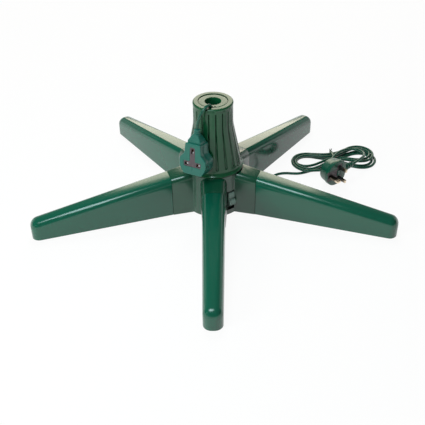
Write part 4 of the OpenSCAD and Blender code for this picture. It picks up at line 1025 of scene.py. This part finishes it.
class STAND_OT_switch(Step, bpy.types.Operator):
    """Makes the rocker and the surround in the hub's wall"""

    bl_idname = "stand.switch"
    bl_label = "Switch"

    def execute(self, context):
        surround = block("switch_surround", (41, -7.5, 11.5), (SWITCH_FACE, 7.5, 49.1))
        rim_round(surround, SWITCH_FACE, 0.6 * MM)
        opening = block("opening_cutter", (38, -SWITCH_HALF, 21.4), (53, SWITCH_HALF, 46.6))
        round_edges(opening, lambda a, b: abs(a.x - b.x) > 3, 0.9 * MM, 3)
        cut_away(surround, opening)
        pocket = block("pocket_cutter", (46, -SWITCH_HALF, 13), (53, SWITCH_HALF, 19))
        soften(pocket, 0.0008, segments=3)
        cut_away(surround, pocket)
        put(surround, rotation(SWITCH_TURN))
        smooth(surround)
        # Its finish is dark plastic with painted shade for the recess round the rocker
        fit_out(surround, "base", "dark_plastic", "switch_bezel", finish="switch_green")
        outline = [(-2, -11.5), (5.7, -11.5), (6.5, -10.7), (6.5, -2), (3.5, -0.7), (3.5, 0.7), (6.5, 2), (6.5, 10.7),
                   (5.7, 11.5), (-2, 11.5)]
        rocker = plate("switch_paddle", [(-x, z) for x, z in outline], 12.2)
        put(rocker, offset(y=6.1) @ rotation(90))
        pin = add("cylinder", "rocker_pin", vertices=24, radius=1.2 * MM, depth=14.4 * MM,
                  rotation=(math.pi / 2, 0, 0))
        soften(rocker, 0.0005, 20, 3)
        join(rocker, pin)
        put(rocker, rotation(SWITCH_TURN) @ offset(SWITCH_PIVOT[0], 0, SWITCH_PIVOT[1]) @ rotation(-SWITCH_TILT, "Y"))
        tidy_faces(rocker)
        smooth(rocker)
        fit_out(rocker, "rocker", "grey_green", "switch_rocker")
        return {"FINISHED"}


# ---- Trailing socket and plug ----

def tee_form(name, play, front, back, sizes):
    """The T of an insert: a stem from the earth pin and a bar across the other two."""
    bar_w, bar_h, stem_w = (size - play for size in sizes)
    low, high = -PIN_PITCH / 2 - bar_h, PIN_PITCH / 2 + 6.5 - play
    outline = [(stem_w, high), (stem_w, -PIN_PITCH / 2 + bar_h), (bar_w, -PIN_PITCH / 2 + bar_h), (bar_w, low)]
    return put(plate(name, mirrored(outline), front - back, 1.2, 3), offset(front))


def slot_cutters(play, front, back):
    """Boxes at the three pins."""
    boxes = []
    for (y, z), (w, h) in zip(PIN_AT, PIN_SIZES):
        w, h = (w + play) / 2, (h + play) / 2
        boxes.append(block("slot_cutter", (back, y - w, z - h), (front, y + w, z + h)))
    return join(*boxes)


class STAND_OT_socket(Step, bpy.types.Operator):
    """Moulds the trailing socket, its insert and its strain relief"""

    bl_idname = "stand.socket"
    bl_label = "Trailing socket"

    def execute(self, context):
        sizes = context.scene.stand_sizes
        outline = mirrored(SOCKET_HALF)
        front = plate("socket_face_half", outline, FRONT_T - JOINT_GAP, 3, 6)
        rim_round(front, 0, sizes.case_round, 4)
        rim_round(front, JOINT_GAP - FRONT_T, 0.0004, 2)
        cut_away(front, tee_form("tee_cutter", 0, 1, -TEE_DEPTH, SOCKET_TEE))
        cut_away(front, slot_cutters(2.7, 1, -FRONT_T - 1))
        rear = put(plate("socket_rear_half", outline, SOCKET_T - FRONT_T, 3, 6), offset(-FRONT_T))
        rim_round(rear, -SOCKET_T, 2 * sizes.case_round, 4)
        rim_round(rear, -FRONT_T, 0.0004, 2)
        hollow = plate("hollow_cutter", [(y * 0.9, z * 0.9) for y, z in outline], SOCKET_T - FRONT_T - 1.2)
        cut_away(rear, put(hollow, offset(1 - FRONT_T)))
        well = add("cylinder", "screw_cutter", vertices=32, radius=2.6 * MM, depth=3 * MM,
                   location=(-SOCKET_T * MM, 0, -2 * MM), rotation=(0, math.pi / 2, 0))
        cut_away(rear, well)
        insert = tee_form("socket_tee", 0.15, -0.25, -TEE_DEPTH, SOCKET_TEE)
        rim_round(insert, -0.25, 0.0003, 2)
        cut_away(insert, slot_cutters(0.6, 1, -3))
        tongues = []
        for y, z in PIN_AT:
            w, h = ((0.2, 2.9), (-1.2, 1.5)) if y else ((0.1, 1.6), (-3.6, -0.2))
            tongue = block("socket_tongues", (-1.5, y + w[0], z + h[0]), (-1.1, y + w[1], z + h[1]))
            soften(tongue, 0.0003, segments=3)
            tongues.append(tongue)
        tongues = join(*tongues)
        sleeve = block("socket_sleeve", (-22, -12.5, 24.1), (-4, 12.5, 27.2))
        edit(sleeve)
        pick(sleeve, "faces", lambda c, n: n.z > 0.9)
        draw_out(z=9.3)
        stretch(0.66, 0.48, 1, (-13, 0, 36.5))
        draw_out(z=1.2)
        done()
        round_edges(sleeve, lambda a, b: abs(a.z - b.z) > 1, 1.6 * MM, 4)
        collar = turned("socket_collar", [
            (36, 2.6), (37.4, 5.9), (38.1, 6.15), (38.8, 5.9), (39, 5.2), (39.6, 5.1), (40, 5.4), (41.2, 5.6),
            (41.9, 5.4), (42.1, 4.9), (42.6, 4.9), (43, 5.2), (44.6, 5.4), (45.6, 5.2), (BOOT_TOP, 4.2),
            (BOOT_TOP, 2.55), (36, 2.6)], 40)
        join(sleeve, put(collar, offset(-SOCKET_T / 2)))
        for piece, angle in ((front, 30), (rear, 30), (insert, 30), (sleeve, 28), (tongues, 30)):
            put(piece, SOCKET_FRAME)
            smooth(piece, angle)
        fit_out(front, "column", "cord_green", "socket_front", finish="socket_green")
        fit_out(rear, "column", "cord_green", "socket_back", finish="socket_green")
        fit_out(insert, "column", "insert_brown", "socket_insert")
        fit_out(sleeve, "column", "cord_green", "socket_boot", finish="socket_green")
        fit_out(tongues, "column", "steel")
        return {"FINISHED"}


class STAND_OT_plug(Step, bpy.types.Operator):
    """Moulds the plug, its pins, its fuse drawer and its strain relief"""

    bl_idname = "stand.plug"
    bl_label = "Plug"

    def execute(self, context):
        sizes = context.scene.stand_sizes
        case = plate("plug_case", eased(mirrored(PLUG_HALF)), 8)
        edit(case)
        pick(case, "faces", lambda c, n: c.x < -7.9 and n.x < -0.9)
        back = -8
        for depth, share in ((0, 0.965), (12, 0.92), (3, 0.93), (1, 0.88)):
            back -= depth
            draw_out(x=-depth)
            stretch(1, share, share, (back, 0, -3))
        done()
        rim_round(case, 0, sizes.case_round, 3)
        rim_round(case, -8, 0.00025, 2)
        cut_away(case, tee_form("tee_cutter", 0, 1, -TEE_DEPTH, PLUG_TEE))
        insert = tee_form("plug_tee", 0.15, -0.1, -TEE_DEPTH, PLUG_TEE)
        rim_round(insert, -0.1, 0.0003, 2)
        cut_away(insert, slot_cutters(1.3, 1, -1.2))
        cut_away(insert, block("drawer_cutter", (-1, -5.65, DRAWER_AT - 4.65), (1, 5.65, DRAWER_AT + 4.65)))
        drawer = block("plug_fuse_drawer", (-0.95, -5.5, DRAWER_AT - 4.5), (1.4, 5.5, DRAWER_AT + 4.5))
        edit(drawer)
        pick(drawer, "faces", lambda c, n: n.x > 0.9)
        bpy.ops.mesh.inset(thickness=1.6 * MM)
        draw_out(x=-0.7)
        done()
        soften(drawer, 0.0004, segments=3)
        prongs, sleeves = [], []
        for (y, z), (w, h), long in zip(PIN_AT, PIN_SIZES, PIN_LENGTHS):
            # The two sleeved pins are slimmer than their sleeves
            slim = 0.3 if y else 0
            w, h = w / 2, h / 2
            prong = block("plug_prongs", (-1.95, y - w + slim, z - h + slim), (long, y + w - slim, z + h - slim))
            rim_round(prong, long, 0.0009, 3)
            soften(prong, 0.0002)
            prongs.append(prong)
            if slim:
                sleeve = block("plug_prong_sleeves", (0.05, y - w, z - h), (9.5, y + w, z + h))
                soften(sleeve, 0.0003)
                sleeves.append(sleeve)
        prong_set = join(*prongs)
        sleeve_set = join(*sleeves)
        rows = [(0, 2.6), (0, 6.1), (0.8, 6.4), (5.4, 6.2), (6, 5.2)]
        for i in range(3):
            start, wide = 6.6 + 5.5 * i, 6.3 - 0.6 * i
            rows += [(start, wide), (start + 0.5, wide + 0.1), (start + 2.4, wide - 0.1), (start + 2.9, wide - 0.6),
                     (start + 3.3, wide - 1.7), (start + 4.6, wide - 1.8)]
        rows += [(23.2, 4.2), (24.4, 3.9), (25, 3.3), (25, 2.55), (0, 2.6)]
        relief = turned("plug_relief", rows, 40)
        put(relief, offset(-6, 0, -27.5) @ rotation(180, "X"))
        for piece, angle in ((case, 28), (insert, 30), (drawer, 30), (prong_set, 30), (sleeve_set, 30), (relief, 40)):
            put(piece, PLUG_FRAME)
            smooth(piece, angle)
        fit_out(case, "base", "cord_green", "plug_body")
        fit_out(insert, "base", "insert_brown", "plug_insert")
        fit_out(drawer, "base", "cord_green", "fuse_carrier")
        fit_out(prong_set, "base", "brass", "plug_pins", finish="pin_brass")
        fit_out(sleeve_set, "base", "dark_plastic", "pin_sleeves")
        fit_out(relief, "base", "cord_green", "plug_boot")
        return {"FINISHED"}


# ---- What stays as the frame has it ----

class STAND_OT_works(Step, bpy.types.Operator):
    """Finishes the drive, the bearing, the slip rings and the other inner pieces of the frame"""

    bl_idname = "stand.works"
    bl_label = "Inner works"

    def execute(self, context):
        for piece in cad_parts.values():
            for i, material in enumerate(piece.data.materials):
                # A material of the frame is named for its slot, and may have a number after it
                slot = material.name.split(".")[0]
                if slot in finishes:
                    piece.data.materials[i] = finishes[slot]
        return {"FINISHED"}


# ---- Stage ----

def compared(tree, operation, first, second):
    """The smaller or the larger of two values."""
    return node(tree, "Math", {0: first, 1: second}, operation=operation).outputs["Value"]


def seen_directly(tree):
    """1 for a ray from the camera, or for what gloss and glass show, and 0 for the light that falls on the pieces."""
    rays = node(tree, "LightPath", {})
    seen = rays.outputs["Is Camera Ray"]
    for kind in ("Is Glossy Ray", "Is Transmission Ray"):
        seen = compared(tree, "MAXIMUM", seen, rays.outputs[kind])
    return seen


def end_in_mix(tree, output, share, first, second):
    """Ends a tree in a mix of two shaders."""
    mix = node(tree, "MixShader", {"Fac": share, 1: first, 2: second})
    feed(tree, tree.nodes[output], {"Surface": mix.outputs["Shader"]})


def set_camera(scene):
    """Sets the camera by its place, its yaw, pitch and roll, and its focal length in pixels."""
    ahead = Vector((math.sin(CAMERA_YAW) * math.cos(CAMERA_PITCH),
                    math.cos(CAMERA_YAW) * math.cos(CAMERA_PITCH), -math.sin(CAMERA_PITCH)))
    across = Vector((math.cos(CAMERA_YAW), -math.sin(CAMERA_YAW), 0))
    upward = across.cross(ahead)
    right = math.cos(CAMERA_ROLL) * across + math.sin(CAMERA_ROLL) * upward
    top = -math.sin(CAMERA_ROLL) * across + math.cos(CAMERA_ROLL) * upward
    bpy.ops.object.camera_add(location=CAMERA_AT)
    camera = bpy.context.object
    camera.rotation_euler = Matrix((right, top, -ahead)).transposed().to_euler()
    camera.data.sensor_width = SENSOR
    camera.data.lens = CAMERA_FOCAL / FRAME_SIDE * SENSOR
    camera.data.clip_start, camera.data.clip_end = 0.05, 30
    scene.camera = camera


def lay_floor():
    """Lays a sheet of pale paper, which shows white to the camera and in gloss and keeps the stand's shadow."""
    floor = add("plane", "floor", size=FLOOR_SIDE, location=(0, 0, FLOOR_AT))
    material, tree, shader = sheet_of_nodes("floor_paper")
    tree.nodes.remove(shader)
    paper = node(tree, "BsdfDiffuse", {"Color": FLOOR_PAPER})
    glow = node(tree, "Emission", {})
    share = ranged(tree, seen_directly(tree), 0, 1, 0, FLOOR_WHITE)
    end_in_mix(tree, "Material Output", share, paper.outputs["BSDF"], glow.outputs["Emission"])
    floor.data.materials.append(material)


def hang_lamp(name, place, aim, size, watts, tint, in_gloss):
    """Hangs a soft panel lamp, turned to its aim."""
    bpy.ops.object.select_all(action="DESELECT")
    bpy.ops.object.light_add(type="AREA", location=place)
    lamp = bpy.context.object
    lamp.name = name
    lamp.data.shape = "RECTANGLE"
    lamp.data.size, lamp.data.size_y = size
    lamp.data.energy = watts
    lamp.data.color = tint
    lamp.rotation_euler = (Vector(aim) - Vector(place)).to_track_quat("-Z", "Y").to_euler()
    lamp.visible_glossy = in_gloss


def set_world(scene):
    """A dim world, which is white to the camera, and near the horizon in gloss and glass."""
    scene.world = bpy.data.worlds.new("studio")
    scene.world.use_nodes = True
    tree = scene.world.node_tree
    light = tree.nodes["Background"]
    feed(tree, light, {"Color": WHITE, "Strength": WORLD_LIGHT})
    white = node(tree, "Background", {"Color": WHITE, "Strength": 1})
    way = node(tree, "SeparateXYZ", {"Vector": node(tree, "TexCoord", {}).outputs["Generated"]})
    low = ranged(tree, way.outputs["Z"], *HORIZON, 1, 0)
    shown = compared(tree, "MINIMUM", seen_directly(tree), low)
    share = compared(tree, "MAXIMUM", node(tree, "LightPath", {}).outputs["Is Camera Ray"], shown)
    end_in_mix(tree, "World Output", share, light.outputs["Background"], white.outputs["Background"])


class STAND_OT_stage(Step, bpy.types.Operator):
    """Sets the floor, the lamps, the world and the camera"""

    bl_idname = "stand.stage"
    bl_label = "Stage"

    def execute(self, context):
        context.scene.view_settings.view_transform = "Standard"
        set_camera(context.scene)
        lay_floor()
        for lamp in LAMPS:
            hang_lamp(*lamp)
        set_world(context.scene)
        return {"FINISHED"}


STEPS = (
    STAND_OT_finishes, STAND_OT_stage, STAND_OT_hub, STAND_OT_legs, STAND_OT_column, STAND_OT_adapter,
    STAND_OT_switch, STAND_OT_socket, STAND_OT_plug, STAND_OT_gland, STAND_OT_tie, STAND_OT_cords, STAND_OT_works,
)


class VIEW3D_PT_stand(bpy.types.Panel):
    """Lists the stand's pieces, sizes and colours"""

    bl_label = "Rotating tree stand"
    bl_space_type = "VIEW_3D"
    bl_region_type = "UI"
    bl_category = "Tree stand"

    def draw(self, context):
        layout = self.layout
        for step in STEPS:
            layout.operator(step.bl_idname)
        for group in (context.scene.stand_sizes, context.scene.stand_colours):
            box = layout.box()
            for key in group.__annotations__:
                box.prop(group, key)


CLASSES = (StandColours, StandSizes) + STEPS + (VIEW3D_PT_stand,)


def register():
    for cls in CLASSES:
        bpy.utils.register_class(cls)
    bpy.types.Scene.stand_colours = bpy.props.PointerProperty(type=StandColours)
    bpy.types.Scene.stand_sizes = bpy.props.PointerProperty(type=StandSizes)


def unregister():
    del bpy.types.Scene.stand_sizes
    del bpy.types.Scene.stand_colours
    for cls in reversed(CLASSES):
        bpy.utils.unregister_class(cls)


def main():
    register()
    bpy.ops.stand.finishes()
    bpy.ops.stand.stage()
    bpy.ops.stand.hub()
    bpy.ops.stand.legs()
    bpy.ops.stand.column()
    bpy.ops.stand.adapter()
    bpy.ops.stand.switch()
    bpy.ops.stand.socket()
    bpy.ops.stand.plug()
    bpy.ops.stand.gland()
    bpy.ops.stand.tie()
    bpy.ops.stand.cords()
    bpy.ops.stand.works()


if __name__ == "__main__":
    main()
